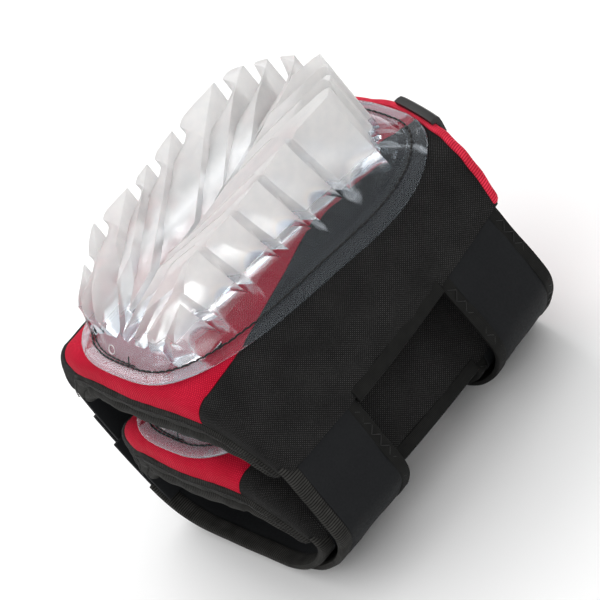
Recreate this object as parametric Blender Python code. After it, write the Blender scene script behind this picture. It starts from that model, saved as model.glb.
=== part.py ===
"""A pair of gel knee pads, nested as they are sold: the upper pad lies over the lower one, and its two
straps close around both.

Every length is in millimetres in the "crown frame": X runs across the leg (the sewn side of the straps
is +X, the fastened side is -X), Y runs along the leg (the shin end is -Y), and Z points out of the knee,
with zero at the highest line of the upper pad's fabric. add_object moves the pair onto the floor and
turns millimetres into metres.
"""
import math

import bpy
import numpy as np

MM = 0.001

# ---------------------------------------------------------------- driving dimensions, millimetres
FLOOR_Z = -170.0                 # underside of the upper straps
CENTRE = (-1.77, 2.10)           # middle of the pair's outline in X and Y

SHIN_END_Y = -116.0              # end of the fabric shell at the crown, shin side
THIGH_END_Y = 125.0              # the same, thigh side
SHIN_END_SETBACK = 10.0          # how much shorter the shell is at its side edges
THIGH_END_SETBACK = 19.0
CROWN_RADIUS_TERM = 0.0008       # crown height falls by this much per square millimetre along Y
CROWN_PEAK_Y = -36.0
HALF_WIDTHS = (108.9, 98.0, 85.7)        # side edge from the centre line at Y = -105, 0 and 105
EDGE_LEVELS = (-60.5, -64.7, -59.9)      # height of the side edge at the same places
SECTION_POWER = 4.9              # how flat the crown is before the sides turn down

NEST_SHIFT = (5.0, -5.0, -63.4)  # where the lower pad lies inside the upper one
NEST_SLOPE = -0.055              # how it tips down towards the thigh end
NEST_NARROWING = 17.0            # how much the upper straps squeeze each side of it

FABRIC = 1.2
FOAM_TOP = 2.4
FOAM_UNDER = 8.0
GEL_TOP = 2.3
GEL_UNDER = 4.4
GEL_POCKET = 5.2
LINING_TOP = 8.8
LINING_UNDER = 9.8
EDGE_TAPER = 0.42                # share of its thickness that the shell loses at its side edges

FLANGE_HALF = (73.0, 116.5)      # the cap's sewn flange, X and Y
FLANGE_CENTRE_Y = 1.7
FLANGE_POWER = 3.1
STITCH_INSET = 7.0
LUG_TOP_Z = 47.5
LUG_HALF_WIDTH = 46.0
LUG_ENDS_Y = (-92.0, 100.0)
LUG_SLANT = 1.66                 # how far a groove runs along Y for each millimetre outward
GROOVES_Y = (-87.0, -60.5, -34.3, -8.0, 19.1, 46.0, 72.0, 98.0, 124.0, 150.0)
VALLEY_HALF_WIDTH = 6.0
LUG_DRAFT = 3.6                  # how much narrower a lug is at its top, on each side
LUG_FOOT_DEPTH = 5.0             # how far above the fabric a lug's hidden foot lies inside the dome
LUG_RAMPS_Y = (-66.0, 72.0)      # where the lug tops start to slope down towards each end
LUG_RAMP_SLOPE = 0.75

STRAP_THICK = 3.2
TAPE_THICK = 1.0
LAYER_GAP = 0.3
BOTTOM_STRAP_Y = (-106.0, -44.0)
TOP_STRAP_Y = (42.0, 102.0)
STRAP_HEM = 8.0
SEAM_GAP = 2.8                   # from the shell's side edge down to a strap or keeper
STRAP_FLAT_HALF = 36.0           # half the length of each strap's flat run under the leg
TAB_LENGTH = 33.0

# ---------------------------------------------------------------- materials
COLOURS = {
    "clear_tpu": ((0.80, 0.77, 0.76, 1.0), 0.25),
    "red_fabric": ((0.62, 0.02, 0.06, 1.0), 0.85),
    "black_fabric": ((0.02, 0.02, 0.02, 1.0), 0.85),
    "neoprene": ((0.025, 0.027, 0.03, 1.0), 0.75),
    "binding": ((0.03, 0.03, 0.03, 1.0), 0.9),
    "foam": ((0.12, 0.12, 0.13, 1.0), 0.95),
    "gel": ((0.35, 0.55, 0.70, 1.0), 0.3),
    "lining": ((0.015, 0.015, 0.015, 1.0), 0.95),
    "hook_tape": ((0.04, 0.04, 0.04, 1.0), 0.7),
    "loop_tape": ((0.05, 0.05, 0.05, 1.0), 0.95),
    "thread": ((0.01, 0.01, 0.01, 1.0), 0.6),
    "label": ((0.06, 0.06, 0.06, 1.0), 0.5),
}


def clear_scene():
    for obj in list(bpy.data.objects):
        bpy.data.objects.remove(obj, do_unlink=True)


def make_material(kind):
    material = bpy.data.materials.new(kind)
    material.use_nodes = True
    shader = material.node_tree.nodes["Principled BSDF"]
    colour, roughness = COLOURS[kind]
    shader.inputs["Base Color"].default_value = colour
    shader.inputs["Roughness"].default_value = roughness
    return material


def add_object(name, vertices, faces, kind, pivot=(0.0, 0.0, 0.0)):
    """Adds one closed body. The pivot, in the crown frame, becomes the object's origin."""
    origin = np.array(pivot, float)
    mesh = bpy.data.meshes.new(name)
    mesh.from_pydata([tuple((np.array(v) - origin) * MM) for v in vertices], [], faces)
    mesh.materials.append(make_material(kind))
    mesh.update()
    mesh.shade_smooth()
    mesh.set_sharp_from_angle(angle=math.radians(35.0))
    obj = bpy.data.objects.new(name, mesh)
    obj.location = (origin - np.array([CENTRE[0], CENTRE[1], FLOOR_Z])) * MM
    bpy.context.scene.collection.objects.link(obj)
    return obj


# ---------------------------------------------------------------- closed solids from grids
def grid_solid(name, outer, inner, kind, pivot=(0.0, 0.0, 0.0)):
    """Joins two grids of points, outer and inner, shape (rows, columns, 3), into one closed body."""
    rows, columns = outer.shape[:2]
    count = rows * columns
    vertices = list(outer.reshape(-1, 3)) + list(inner.reshape(-1, 3))
    faces = []
    for r in range(rows - 1):
        for c in range(columns - 1):
            a, b = r * columns + c, r * columns + c + 1
            d, e = a + columns, b + columns
            faces.append((a, b, e, d))
            faces.append((count + a, count + d, count + e, count + b))
    rim = [c for c in range(columns)]
    rim += [r * columns + columns - 1 for r in range(1, rows)]
    rim += [(rows - 1) * columns + c for c in range(columns - 2, -1, -1)]
    rim += [r * columns for r in range(rows - 2, 0, -1)]
    for i, a in enumerate(rim):
        b = rim[(i + 1) % len(rim)]
        faces.append((b, a, count + a, count + b))
    return add_object(name, vertices, outward(vertices, faces), kind, pivot)


def outward(vertices, faces):
    """Turns every face over when the body's signed volume says that it is inside out."""
    volume = 0.0
    for face in faces:
        first = np.array(vertices[face[0]])
        for i in range(1, len(face) - 1):
            volume += np.dot(first, np.cross(vertices[face[i]], vertices[face[i + 1]]))
    if volume < 0.0:
        return [tuple(reversed(face)) for face in faces]
    return faces


def disc_solid(name, top_rings, under_rings, kind):
    """A closed disc: rings of points from the rim inwards, each closed by a fan at its middle."""
    segments = len(top_rings[0])
    vertices = []
    faces = []
    starts = []
    for rings in (top_rings, under_rings):
        start = len(vertices)
        starts.append(start)
        for ring in rings:
            vertices += list(ring)
        vertices.append(np.mean(rings[-1], axis=0))
        middle = len(vertices) - 1
        for k in range(len(rings) - 1):
            for i in range(segments):
                j = (i + 1) % segments
                a, b = start + k * segments + i, start + k * segments + j
                quad = (a, b, b + segments, a + segments)
                faces.append(quad if rings is top_rings else tuple(reversed(quad)))
        last = start + (len(rings) - 1) * segments
        for i in range(segments):
            triangle = (last + i, last + (i + 1) % segments, middle)
            faces.append(triangle if rings is top_rings else tuple(reversed(triangle)))
    for i in range(segments):
        j = (i + 1) % segments
        faces.append((starts[0] + j, starts[0] + i, starts[1] + i, starts[1] + j))
    return add_object(name, vertices, outward(vertices, faces), kind)


def tube_ring(name, centres, ups, radius, sides, kind):
    """A closed thread that follows a ring of centres."""
    count = len(centres)
    vertices = []
    for i in range(count):
        ahead = centres[(i + 1) % count] - centres[i - 1]
        side = np.cross(ahead, ups[i])
        side /= np.linalg.norm(side)
        up = np.cross(side, ahead)
        up /= np.linalg.norm(up)
        for k in range(sides):
            angle = 2.0 * math.pi * k / sides
            vertices.append(centres[i] + radius * (math.cos(angle) * side + math.sin(angle) * up))
    faces = []
    for i in range(count):
        n = (i + 1) % count
        for k in range(sides):
            m = (k + 1) % sides
            faces.append((i * sides + k, i * sides + m, n * sides + m, n * sides + k))
    return add_object(name, vertices, outward(vertices, faces), kind)


# ---------------------------------------------------------------- the padded shell's surface
def parabola(values, y):
    """The curve through three values given at Y = -105, 0 and 105."""
    low, middle, high = values
    t = y / 105.0
    return middle + (high - low) / 2.0 * t + (high + low - 2.0 * middle) / 2.0 * t * t


class Pad:
    """One knee pad's surface. across runs from -1 to 1 along the section's arc, y along the leg, and
    depth is the distance outside the fabric, so layers inside it have a negative depth."""

    SAMPLES = 90

    def __init__(self, prefix, shift=(0.0, 0.0, 0.0), slope=0.0, narrowing=0.0):
        self.prefix = prefix
        self.shift = np.array(shift)
        self.slope = slope
        self.narrowing = narrowing

    def place(self, x, y, z):
        """A point of this pad's own shape, where it lies in the pair."""
        return np.array([x, y, z + self.slope * y]) + self.shift

    def half_width(self, y):
        return parabola(HALF_WIDTHS, y) - self.narrowing

    def crown(self, y):
        return -CROWN_RADIUS_TERM * (y - CROWN_PEAK_Y) ** 2

    def height(self, x, y):
        drop = self.crown(y) - parabola(EDGE_LEVELS, y)
        return self.crown(y) - drop * (abs(x) / self.half_width(y)) ** SECTION_POWER

    def arc_table(self, y, half_width):
        """X and the distance along the section from its crown, for a section this wide."""
        x = np.linspace(0.0, half_width, self.SAMPLES)
        drop = self.crown(y) - parabola(EDGE_LEVELS, y)
        z = -drop * (x / half_width) ** SECTION_POWER
        arc = np.concatenate([[0.0], np.cumsum(np.hypot(np.diff(x), np.diff(z)))])
        return x, arc

    def across_of(self, x, y):
        """Where a place on the unsqueezed pad lies along this pad's section, as a share of its arc."""
        free_x, free_arc = self.arc_table(y, self.half_width(y) + self.narrowing)
        _, arc = self.arc_table(y, self.half_width(y))
        return math.copysign(float(np.interp(abs(x), free_x, free_arc)) / arc[-1], x)

    def thinning(self, across):
        t = min(max((abs(across) - 0.7) / 0.3, 0.0), 1.0)
        return 1.0 - EDGE_TAPER * t * t * (3.0 - 2.0 * t)

    def point(self, across, y, depth):
        width = self.half_width(y)
        table_x, table_arc = self.arc_table(y, width)
        x = float(np.interp(abs(across) * table_arc[-1], table_arc, table_x))
        drop = self.crown(y) - parabola(EDGE_LEVELS, y)
        slope = drop * SECTION_POWER / width * (x / width) ** (SECTION_POWER - 1.0)
        length = math.hypot(slope, 1.0)
        if depth < 0.0:
            depth *= self.thinning(across)
        px = x + depth * slope / length
        pz = self.height(x, y) + depth / length
        return self.place(math.copysign(px, across) if across else 0.0, y, pz)

    def end_y(self, across, share):
        """Y at a share of the shell's length, from the shin end (0) to the thigh end (1)."""
        low = SHIN_END_Y + SHIN_END_SETBACK * abs(across) ** 1.5
        high = THIGH_END_Y - THIGH_END_SETBACK * abs(across) ** 1.2
        return low + (high - low) * share

    def layer(self, name, kind, spans, rows):
        """A layer of the shell. spans gives, for a Y, the across values of its columns. Each row is
        (share of the length, outer offset along Y, outer depth, inner offset, inner depth)."""
        outer, inner = [], []
        for share, out_y, out_depth, in_y, in_depth in rows:
            across = spans(self.end_y(0.5, share) + out_y)
            outer.append([self.point(a, self.end_y(a, share) + out_y, out_depth) for a in across])
            inner.append([self.point(a, self.end_y(a, share) + in_y, in_depth) for a in across])
        return grid_solid(f"{self.prefix}_{name}", np.array(outer), np.array(inner), kind)


def even(count, low, high):
    return list(np.linspace(low, high, count))


# ---------------------------------------------------------------- fabric, foam, gel and lining
SHIN_ROLL = [                    # the outer fabric rolls over the foam at the shin end
    (0.0, 0.0, -20.0, FABRIC, -20.0),
    (0.0, 0.0, -10.0, FABRIC, -10.0),
    (0.0, 0.8, -5.5, 1.9, -6.2),
    (0.0, 3.5, -1.6, 4.2, -2.7),
    (0.0, 8.0, 0.0, 8.0, -FABRIC),
]


def flat_rows(count, outer, inner, first=0.12, last=0.92):
    return [(share, 0.0, outer, 0.0, inner) for share in even(count, first, last)]


def outer_rows():
    end = [(1.0, -2.0, 0.0, -2.0, -FABRIC)]
    return SHIN_ROLL + flat_rows(7, 0.0, -FABRIC) + end


def seam_x(y):
    """The seam between the red centre panel and the side panels: wide at the shin, narrow above."""
    return 47.5 - 21.0 * math.sin(math.pi * max(-100.0, min(100.0, y)) / 200.0)


def build_outer_fabric(pad):
    gap = 0.004                  # a share of the section's arc, about 0.5 mm

    def centre(y):
        edge = pad.across_of(seam_x(y), y) - gap
        return even(11, -edge, edge)

    def near(y):
        return even(8, pad.across_of(seam_x(y), y) + gap, 1.0)

    def far(y):
        return even(8, -1.0, -pad.across_of(seam_x(y), y) - gap)

    pad.layer("centre_panel", "red_fabric", centre, outer_rows())
    pad.layer("near_side_panel", "black_fabric", near, outer_rows())
    pad.layer("far_side_panel", "black_fabric", far, outer_rows())


POCKET_HALF = 0.36               # the gel pocket's half-width as a share of the section's arc
FOAM_COLUMNS = (
    even(5, -0.98, -0.55) + [-0.44, -POCKET_HALF, -POCKET_HALF / 2.0, 0.0]
    + [POCKET_HALF / 2.0, POCKET_HALF, 0.44] + even(5, 0.55, 0.98)
)
FOAM_SHARES = (0.12, 0.16, 0.33, 0.5, 0.67, 0.84, 0.90)


def build_foam(pad):
    """The foam sheet, with a thick bead at the shin end and a shallow pocket for the gel."""
    rows = [
        (0.0, 2.2, 8.0, 19.6),
        (0.0, 5.0, 4.4, 19.6),
        (0.0, 12.0, FOAM_TOP, 19.6),
        (0.0, 20.0, FOAM_TOP, FOAM_UNDER),
    ]
    rows += [(share, 0.0, FOAM_TOP, FOAM_UNDER) for share in FOAM_SHARES]
    rows += [(1.0, -3.0, FOAM_TOP, FOAM_UNDER)]
    top, under = [], []
    for share, offset, top_depth, under_depth in rows:
        for grid, depth in ((top, top_depth), (under, under_depth)):
            line = []
            for across in FOAM_COLUMNS:
                in_pocket = grid is top and 0.15 < share < 0.85 and abs(across) <= POCKET_HALF
                y = pad.end_y(across, share) + offset
                line.append(pad.point(across, y, -(GEL_POCKET if in_pocket else depth)))
            grid.append(line)
    grid_solid(f"{pad.prefix}_foam_core", np.array(top), np.array(under), "foam")


def build_lining(pad):
    rows = [
        (0.0, 7.6, -20.6, 7.6, -21.8),
        (0.0, 12.5, -20.6, 12.9, -21.8),
        (0.0, 21.2, -LINING_TOP, 22.0, -LINING_UNDER),
    ]
    rows += [(share, 0.0, -LINING_TOP, 0.0, -LINING_UNDER) for share in FOAM_SHARES]
    rows += [(1.0, -3.0, -LINING_TOP, -3.0, -LINING_UNDER)]
    pad.layer("lining", "lining", lambda y: FOAM_COLUMNS, rows)


def build_bindings(pad):
    """The ribbed black binding at the shin end and the red band around the thigh end."""
    shin = [
        (0.0, 0.2, -20.8, 7.0, -22.4),
        (0.0, -1.2, -25.0, 7.0, -25.5),
        (0.0, -1.0, -31.0, 7.0, -30.0),
        (0.0, 1.6, -35.5, 5.6, -34.4),
    ]
    pad.layer("shin_binding", "binding", lambda y: even(19, -1.0, 1.0), shin)
    thigh = [
        (1.0, -3.6, 1.7, -3.6, 0.6),
        (1.0, -1.6, 1.7, -2.0, 0.6),
        (1.0, 1.4, -1.0, 0.0, -1.4),
        (1.0, 1.4, -10.0, 0.0, -9.6),
        (1.0, -1.6, -12.4, -2.2, -11.2),
        (1.0, -9.0, -12.4, -9.0, -11.2),
    ]
    pad.layer("thigh_band", "red_fabric", lambda y: even(19, -1.0, 1.0), thigh)


def build_side_hems(pad):
    """The hem along each side edge, between the two straps."""
    for name, side in (("near_side_hem", 1.0), ("far_side_hem", -1.0)):
        outer, inner = [], []
        for y in even(5, BOTTOM_STRAP_Y[1] + 1.0, TOP_STRAP_Y[0] - 1.0):
            columns = even(3, 0.93 * side, 1.0 * side)
            outer.append([pad.point(a, y, 1.8) for a in columns])
            inner.append([pad.point(a, y, 0.6) for a in columns])
        grid_solid(f"{pad.prefix}_{name}", np.array(outer), np.array(inner), "binding")


def build_label(pad):
    """A thin rubber label sewn over the thigh band, with nothing written on it."""
    rows = [
        (1.0, -4.0, 3.4, -4.0, 2.4),
        (1.0, 2.2, 3.1, 1.2, 2.2),
        (1.0, 3.4, -8.0, 2.4, -8.0),
    ]
    pad.layer("label_patch", "label", lambda y: even(3, 0.27, 0.45), rows)


# ---------------------------------------------------------------- the cap and its gel
def oval(half_x, half_y, segments=36):
    """Points round a rounded-rectangle oval, centred like the flange."""
    points = []
    for i in range(segments):
        angle = 2.0 * math.pi * (i + 0.5) / segments
        c, s = math.cos(angle), math.sin(angle)
        x = half_x * math.copysign(abs(c) ** (2.0 / FLANGE_POWER), c)
        y = half_y * math.copysign(abs(s) ** (2.0 / FLANGE_POWER), s)
        points.append((x, FLANGE_CENTRE_Y + y))
    return points


def on_pad(pad, flat_points, depth):
    return [pad.point(pad.across_of(x, y), y, depth) for x, y in flat_points]


def build_gel(pad):
    sizes = ((44.0, 72.0), (30.0, 50.0), (14.0, 24.0))
    top = [on_pad(pad, oval(*size, 24), -GEL_TOP) for size in sizes]
    under = [on_pad(pad, oval(*size, 24), -GEL_UNDER) for size in sizes]
    disc_solid(f"{pad.prefix}_gel_insert", top, under, "gel")


def clip_polygon(polygon, normal, limit):
    """Keeps the part of a convex polygon where the point's product with normal is at most limit."""
    kept = []
    for i, a in enumerate(polygon):
        b = polygon[(i + 1) % len(polygon)]
        side_a = np.dot(a, normal) - limit
        side_b = np.dot(b, normal) - limit
        if side_a <= 0.0:
            kept.append(a)
        if side_a * side_b < 0.0:
            kept.append(a + (b - a) * side_a / (side_a - side_b))
    return kept


def lug_outline(first_groove, second_groove, inset):
    """A lug's outline for X > 0, between two slanted grooves, pulled in by inset on every side."""
    polygon = [np.array(p, float) for p in ((0, -200), (100, -200), (100, 300), (0, 300))]
    length = math.hypot(LUG_SLANT, 1.0)
    slanted = np.array([-LUG_SLANT, 1.0]) / length
    offset = -LUG_SLANT * LUG_HALF_WIDTH / length
    cuts = [
        (slanted, second_groove / length + offset - inset),
        (-slanted, -first_groove / length - offset - inset),
        (np.array([-1.0, 0.0]), -VALLEY_HALF_WIDTH - inset),
        (np.array([1.0, 0.0]), LUG_HALF_WIDTH - inset),
        (np.array([0.0, -1.0]), -LUG_ENDS_Y[0] - inset),
        (np.array([0.0, 1.0]), LUG_ENDS_Y[1] - inset),
        (np.array([0.6, -0.8]), 0.6 * LUG_HALF_WIDTH - 0.8 * (LUG_ENDS_Y[0] + 24.0) - inset),
        (np.array([0.6, 0.8]), 0.6 * LUG_HALF_WIDTH + 0.8 * (LUG_ENDS_Y[1] - 34.0) - inset),
    ]
    for normal, limit in cuts:
        polygon = clip_polygon(polygon, normal, limit)
        if len(polygon) < 3:
            return []
    return polygon


def polygon_area(polygon):
    x = np.array([p[0] for p in polygon])
    y = np.array([p[1] for p in polygon])
    return abs(np.dot(x, np.roll(y, -1)) - np.dot(y, np.roll(x, -1))) / 2.0


def lug_prism(pad, foot, top, side):
    """One tapered lug, from inside the cap's dome to its flat top."""
    count = len(foot)
    levels = [pad.height(x, y) for x, y in foot]
    sunk = max(min(levels) + LUG_FOOT_DEPTH, max(levels) + 1.2)
    vertices = [pad.place(side * x, y, sunk) for x, y in foot]
    vertices += [pad.place(side * x, y, LUG_TOP_Z) for x, y in top]
    faces = [tuple(range(count)), tuple(range(2 * count - 1, count - 1, -1))]
    for i in range(count):
        j = (i + 1) % count
        faces.append((j, i, count + i, count + j))
    return vertices, outward(vertices, faces)


def shrink_towards(polygon, inset_polygon):
    """The foot's own corners pulled in to the matching corners of the inset outline."""
    middle = np.mean(inset_polygon, axis=0)
    full = np.mean(polygon, axis=0)
    scale = math.sqrt(polygon_area(inset_polygon) / polygon_area(polygon))
    return [middle + (p - full) * scale for p in polygon]


def build_cap(pad):
    """The clear moulding: a sewn flange and skirt that rise to a dome under slanted lugs."""
    rings = (
        (FLANGE_HALF, 2.8, 0.8),
        ((66.0, 110.0), 2.8, 0.8),
        ((60.0, 106.0), 3.0, 0.8),
        ((54.0, 102.0), 4.0, 0.8),
        ((50.0, 98.5), 6.0, 0.8),
        ((46.5, 95.0), 11.0, 1.0),
        ((42.0, 91.0), 12.0, 3.0),
        ((20.0, 60.0), 12.0, 3.6),
    )
    top = [on_pad(pad, oval(*size), depth) for size, depth, _ in rings]
    under = [on_pad(pad, oval(*size), depth) for size, _, depth in rings]
    cap = disc_solid(f"{pad.prefix}_cap", top, under, "clear_tpu")
    for side in (1.0, -1.0):
        for first, second in zip(GROOVES_Y[:-1], GROOVES_Y[1:]):
            foot = lug_outline(first, second, 0.7)
            inner = lug_outline(first, second, 0.7 + LUG_DRAFT)
            if not foot or not inner or polygon_area(inner) < 30.0:
                continue
            vertices, faces = lug_prism(pad, foot, shrink_towards(foot, inner), side)
            lug = add_object(f"{pad.prefix}_lug_tool", vertices, faces, "clear_tpu")
            lug.hide_render = True
            lug.display_type = "WIRE"
            union = cap.modifiers.new("lug", "BOOLEAN")
            union.operation = "UNION"
            union.solver = "EXACT"
            union.object = lug
    for start, end in zip(LUG_RAMPS_Y, LUG_ENDS_Y):
        cut = cap.modifiers.new("ramp", "BOOLEAN")
        cut.operation = "DIFFERENCE"
        cut.solver = "EXACT"
        cut.object = ramp_cutter(pad, start, end)


def ramp_cutter(pad, start, end):
    """A wedge that takes the lug tops down from start towards an end of the cap."""
    reach = (end - start) * 1.6
    drop = abs(reach) * LUG_RAMP_SLOPE
    corners = [(start, LUG_TOP_Z), (start, LUG_TOP_Z + 20.0), (start + reach, LUG_TOP_Z + 20.0),
               (start + reach, LUG_TOP_Z - drop)]
    vertices = [pad.place(x, y, z) for x in (-80.0, 80.0) for y, z in corners]
    faces = [(0, 1, 2, 3), (7, 6, 5, 4)]
    faces += [(b, a, a + 4, b + 4) for a, b in ((0, 1), (1, 2), (2, 3), (3, 0))]
    cutter = add_object(f"{pad.prefix}_ramp_tool", vertices, outward(vertices, faces), "clear_tpu")
    cutter.hide_render = True
    cutter.display_type = "WIRE"
    return cutter


def build_stitching(pad):
    flat = oval(FLANGE_HALF[0] - STITCH_INSET, FLANGE_HALF[1] - STITCH_INSET)
    centres = np.array(on_pad(pad, flat, 3.9))
    ups = np.array(on_pad(pad, flat, 4.9)) - centres
    tube_ring(f"{pad.prefix}_cap_stitching", centres, ups, 0.6, 4, "thread")


# ---------------------------------------------------------------- straps
def bezier(start, start_pull, end_pull, end, count):
    points = []
    for t in even(count, 0.0, 1.0):
        u = 1.0 - t
        points.append(u ** 3 * start + 3 * u * u * t * start_pull + 3 * u * t * t * end_pull + t ** 3 * end)
    return points


class StrapRoute:
    """The loop that one strap follows in X and Z. Its fastened side lies on arcs around the hinge line
    at the sewn side, so that the strap swings clear of the keeper inside it."""

    def __init__(self, y_range, slack):
        self.y_range = y_range
        upper = Pad("route")
        middle = sum(y_range) / 2.0
        self.hinge_x = max(upper.half_width(y) for y in y_range)
        self.hinge_z = max(parabola(EDGE_LEVELS, y) for y in y_range)
        self.radius = self.hinge_x + upper.half_width(middle) + slack

    def arc_point(self, inset, z):
        radius = self.radius - inset
        return np.array([self.hinge_x - math.sqrt(radius ** 2 - (z - self.hinge_z) ** 2), z])

    def arc_side(self, inset, low, high, count):
        return [self.arc_point(inset, z) for z in even(count, low, high)]

    def loop(self, edge, inset, far_inset, turn_z, end_z):
        """From the sewn edge, down the near side, under the leg and up the far side to end_z."""
        floor = FLOOR_Z + inset
        down = min(turn_z + 14.0, edge[1] - 4.0)
        near_low = np.array([edge[0] - 0.1 * (edge[1] - down), down])
        flat_near = np.array([STRAP_FLAT_HALF, floor])
        flat_far = np.array([-STRAP_FLAT_HALF, floor])
        far_low = self.arc_point(far_inset, turn_z)
        climb = self.arc_point(far_inset, turn_z + 5.0) - far_low
        climb /= np.linalg.norm(climb)
        points = even_line(edge, near_low, 3)[:-1]
        pull = np.array([-0.08, -1.0]) * (down - floor) * 0.62
        points += bezier(near_low, near_low + pull, flat_near + np.array([34.0, 0.0]), flat_near, 7)
        points += bezier(flat_far, flat_far - np.array([26.0, 0.0]), far_low - climb * 14.0, far_low, 6)
        points += self.arc_side(far_inset, turn_z, end_z, 3)[1:]
        return np.array(points)


def even_line(start, end, count):
    return [start + (end - start) * t for t in even(count, 0.0, 1.0)]


def offset_inward(path, distance):
    """Moves an X-Z path sideways, to the left of its travel, with mitred corners."""
    moved = []
    for i, point in enumerate(path):
        before = path[i] - path[i - 1] if i else path[1] - path[0]
        after = path[i + 1] - path[i] if i + 1 < len(path) else before
        normals = []
        for step in (before, after):
            length = np.linalg.norm(step)
            normals.append(np.array([step[1], -step[0]]) / length)
        middle = normals[0] + normals[1]
        middle /= np.linalg.norm(middle)
        moved.append(point + middle * distance / np.dot(middle, normals[0]))
    return np.array(moved)


def band(name, rows, thickness, kind, pivot=(0.0, 0.0, 0.0)):
    """A strap-like solid. rows is a list of (y, X-Z path of its outer face)."""
    outer, inner = [], []
    for y, path in rows:
        inside = offset_inward(path, thickness)
        outer.append([(x, y, z) for x, z in path])
        inner.append([(x, y, z) for x, z in inside])
    return grid_solid(name, np.array(outer), np.array(inner), kind, pivot)


def build_strap(pad, name, route, level):
    """One strap with its hems, pull tab, tapes and keeper. level holds the heights that differ
    between the outer loop and the nested one."""
    label = f"{pad.prefix}_{name}"
    first, last = (y + pad.shift[1] for y in route.y_range)
    hinge = (route.hinge_x, 0.0, route.hinge_z)

    def near_edge(y):
        edge = pad.point(1.0, y - pad.shift[1], 0.0)
        return np.array([edge[0], edge[2] - SEAM_GAP])

    def far_edge(y):
        edge = pad.point(-1.0, y - pad.shift[1], 0.0)
        return np.array([edge[0], edge[2] - SEAM_GAP])

    def strap_rows(low, high, count, inset):
        rows = []
        for y in even(count, low, high):
            path = route.loop(near_edge(y), level["floor"], level["far"], level["turn"], level["split"])
            rows.append((y, offset_inward(path, inset) if inset else path))
        return rows

    body_low, body_high = first + STRAP_HEM + LAYER_GAP, last - STRAP_HEM - LAYER_GAP
    band(label, strap_rows(body_low, body_high, 3, 0.0), STRAP_THICK, "neoprene", hinge)
    hem_rows = strap_rows(first, first + STRAP_HEM, 2, LAYER_GAP)
    band(f"{label}_lower_hem", hem_rows, STRAP_THICK - LAYER_GAP, "binding", hinge)
    hem_rows = strap_rows(last - STRAP_HEM, last, 2, LAYER_GAP)
    band(f"{label}_upper_hem", hem_rows, STRAP_THICK - LAYER_GAP, "binding", hinge)

    tab_low = level["split"] + LAYER_GAP
    tab_high = tab_low + TAB_LENGTH
    tab_path = np.array(route.arc_side(level["far"], tab_low, tab_high, 5))
    peel = (tab_path[0][0], 0.0, tab_path[0][1])
    ends = (first, last)
    band(f"{label}_pull_tab", [(y, tab_path) for y in ends], STRAP_THICK, "neoprene", peel)

    hook = level["far"] + STRAP_THICK + LAYER_GAP
    tape_ends = (first + 6.0, last - 6.0)
    hook_path = np.array(route.arc_side(hook, tab_low + 1.0, tab_high - 3.0, 4))
    band(f"{label}_hook_tape", [(y, hook_path) for y in tape_ends], TAPE_THICK, "hook_tape", peel)

    loop = hook + TAPE_THICK + LAYER_GAP
    keeper_inset = loop + TAPE_THICK + LAYER_GAP
    loop_path = np.array(route.arc_side(loop, level["keeper_end"], level["loop_top"], 4))
    band(f"{label}_loop_tape", [(y, loop_path) for y in tape_ends], TAPE_THICK, "loop_tape")

    keeper_rows = []
    for y in even(3, first, last):
        arc = route.arc_side(keeper_inset, level["keeper_end"], level["keeper_join"], 4)
        keeper_rows.append((y, np.array(arc + [far_edge(y)])))
    band(f"{label}_keeper", keeper_rows, STRAP_THICK, "neoprene")


OUTER_LOOP = {
    "floor": 0.0, "far": 0.0, "turn": -146.0, "split": -121.9,
    "keeper_end": -145.0, "keeper_join": -78.0, "loop_top": -84.0,
}
NESTED_BOTTOM_LOOP = {
    "floor": 4.6, "far": 10.6, "turn": -144.0, "split": -137.4,
    "keeper_end": -147.0, "keeper_join": -131.0, "loop_top": -123.5,
}
NESTED_TOP_LOOP = {
    "floor": 4.6, "far": 10.6, "turn": -148.0, "split": -142.0,
    "keeper_end": -150.0, "keeper_join": -139.0, "loop_top": -135.0,
}
BOTTOM_STRAP_SLACK = 8.1         # how far a strap's fastened side stands outside the shell's edge
TOP_STRAP_SLACK = 13.0


def build_pad(pad, bottom_level, top_level):
    build_outer_fabric(pad)
    build_foam(pad)
    build_gel(pad)
    build_lining(pad)
    build_bindings(pad)
    build_side_hems(pad)
    build_label(pad)
    build_cap(pad)
    build_stitching(pad)
    build_strap(pad, "bottom_strap", StrapRoute(BOTTOM_STRAP_Y, BOTTOM_STRAP_SLACK), bottom_level)
    build_strap(pad, "top_strap", StrapRoute(TOP_STRAP_Y, TOP_STRAP_SLACK), top_level)


def main():
    clear_scene()
    build_pad(Pad("upper"), OUTER_LOOP, OUTER_LOOP)
    nested = Pad("lower", NEST_SHIFT, NEST_SLOPE, NEST_NARROWING)
    build_pad(nested, NESTED_BOTTOM_LOOP, NESTED_TOP_LOOP)


main()
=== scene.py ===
"""Looks for a nested pair of gel knee pads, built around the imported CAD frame.

Shapes are worked out in millimetres in the same "crown frame" as the CAD part: X across the leg, Y
along it, Z out of the knee, with zero at the highest line of the upper pad's fabric. to_row turns them
into the row frame, in metres.
"""

import math

import bmesh
import bpy
import numpy as np
from mathutils import Matrix, Vector


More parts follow.
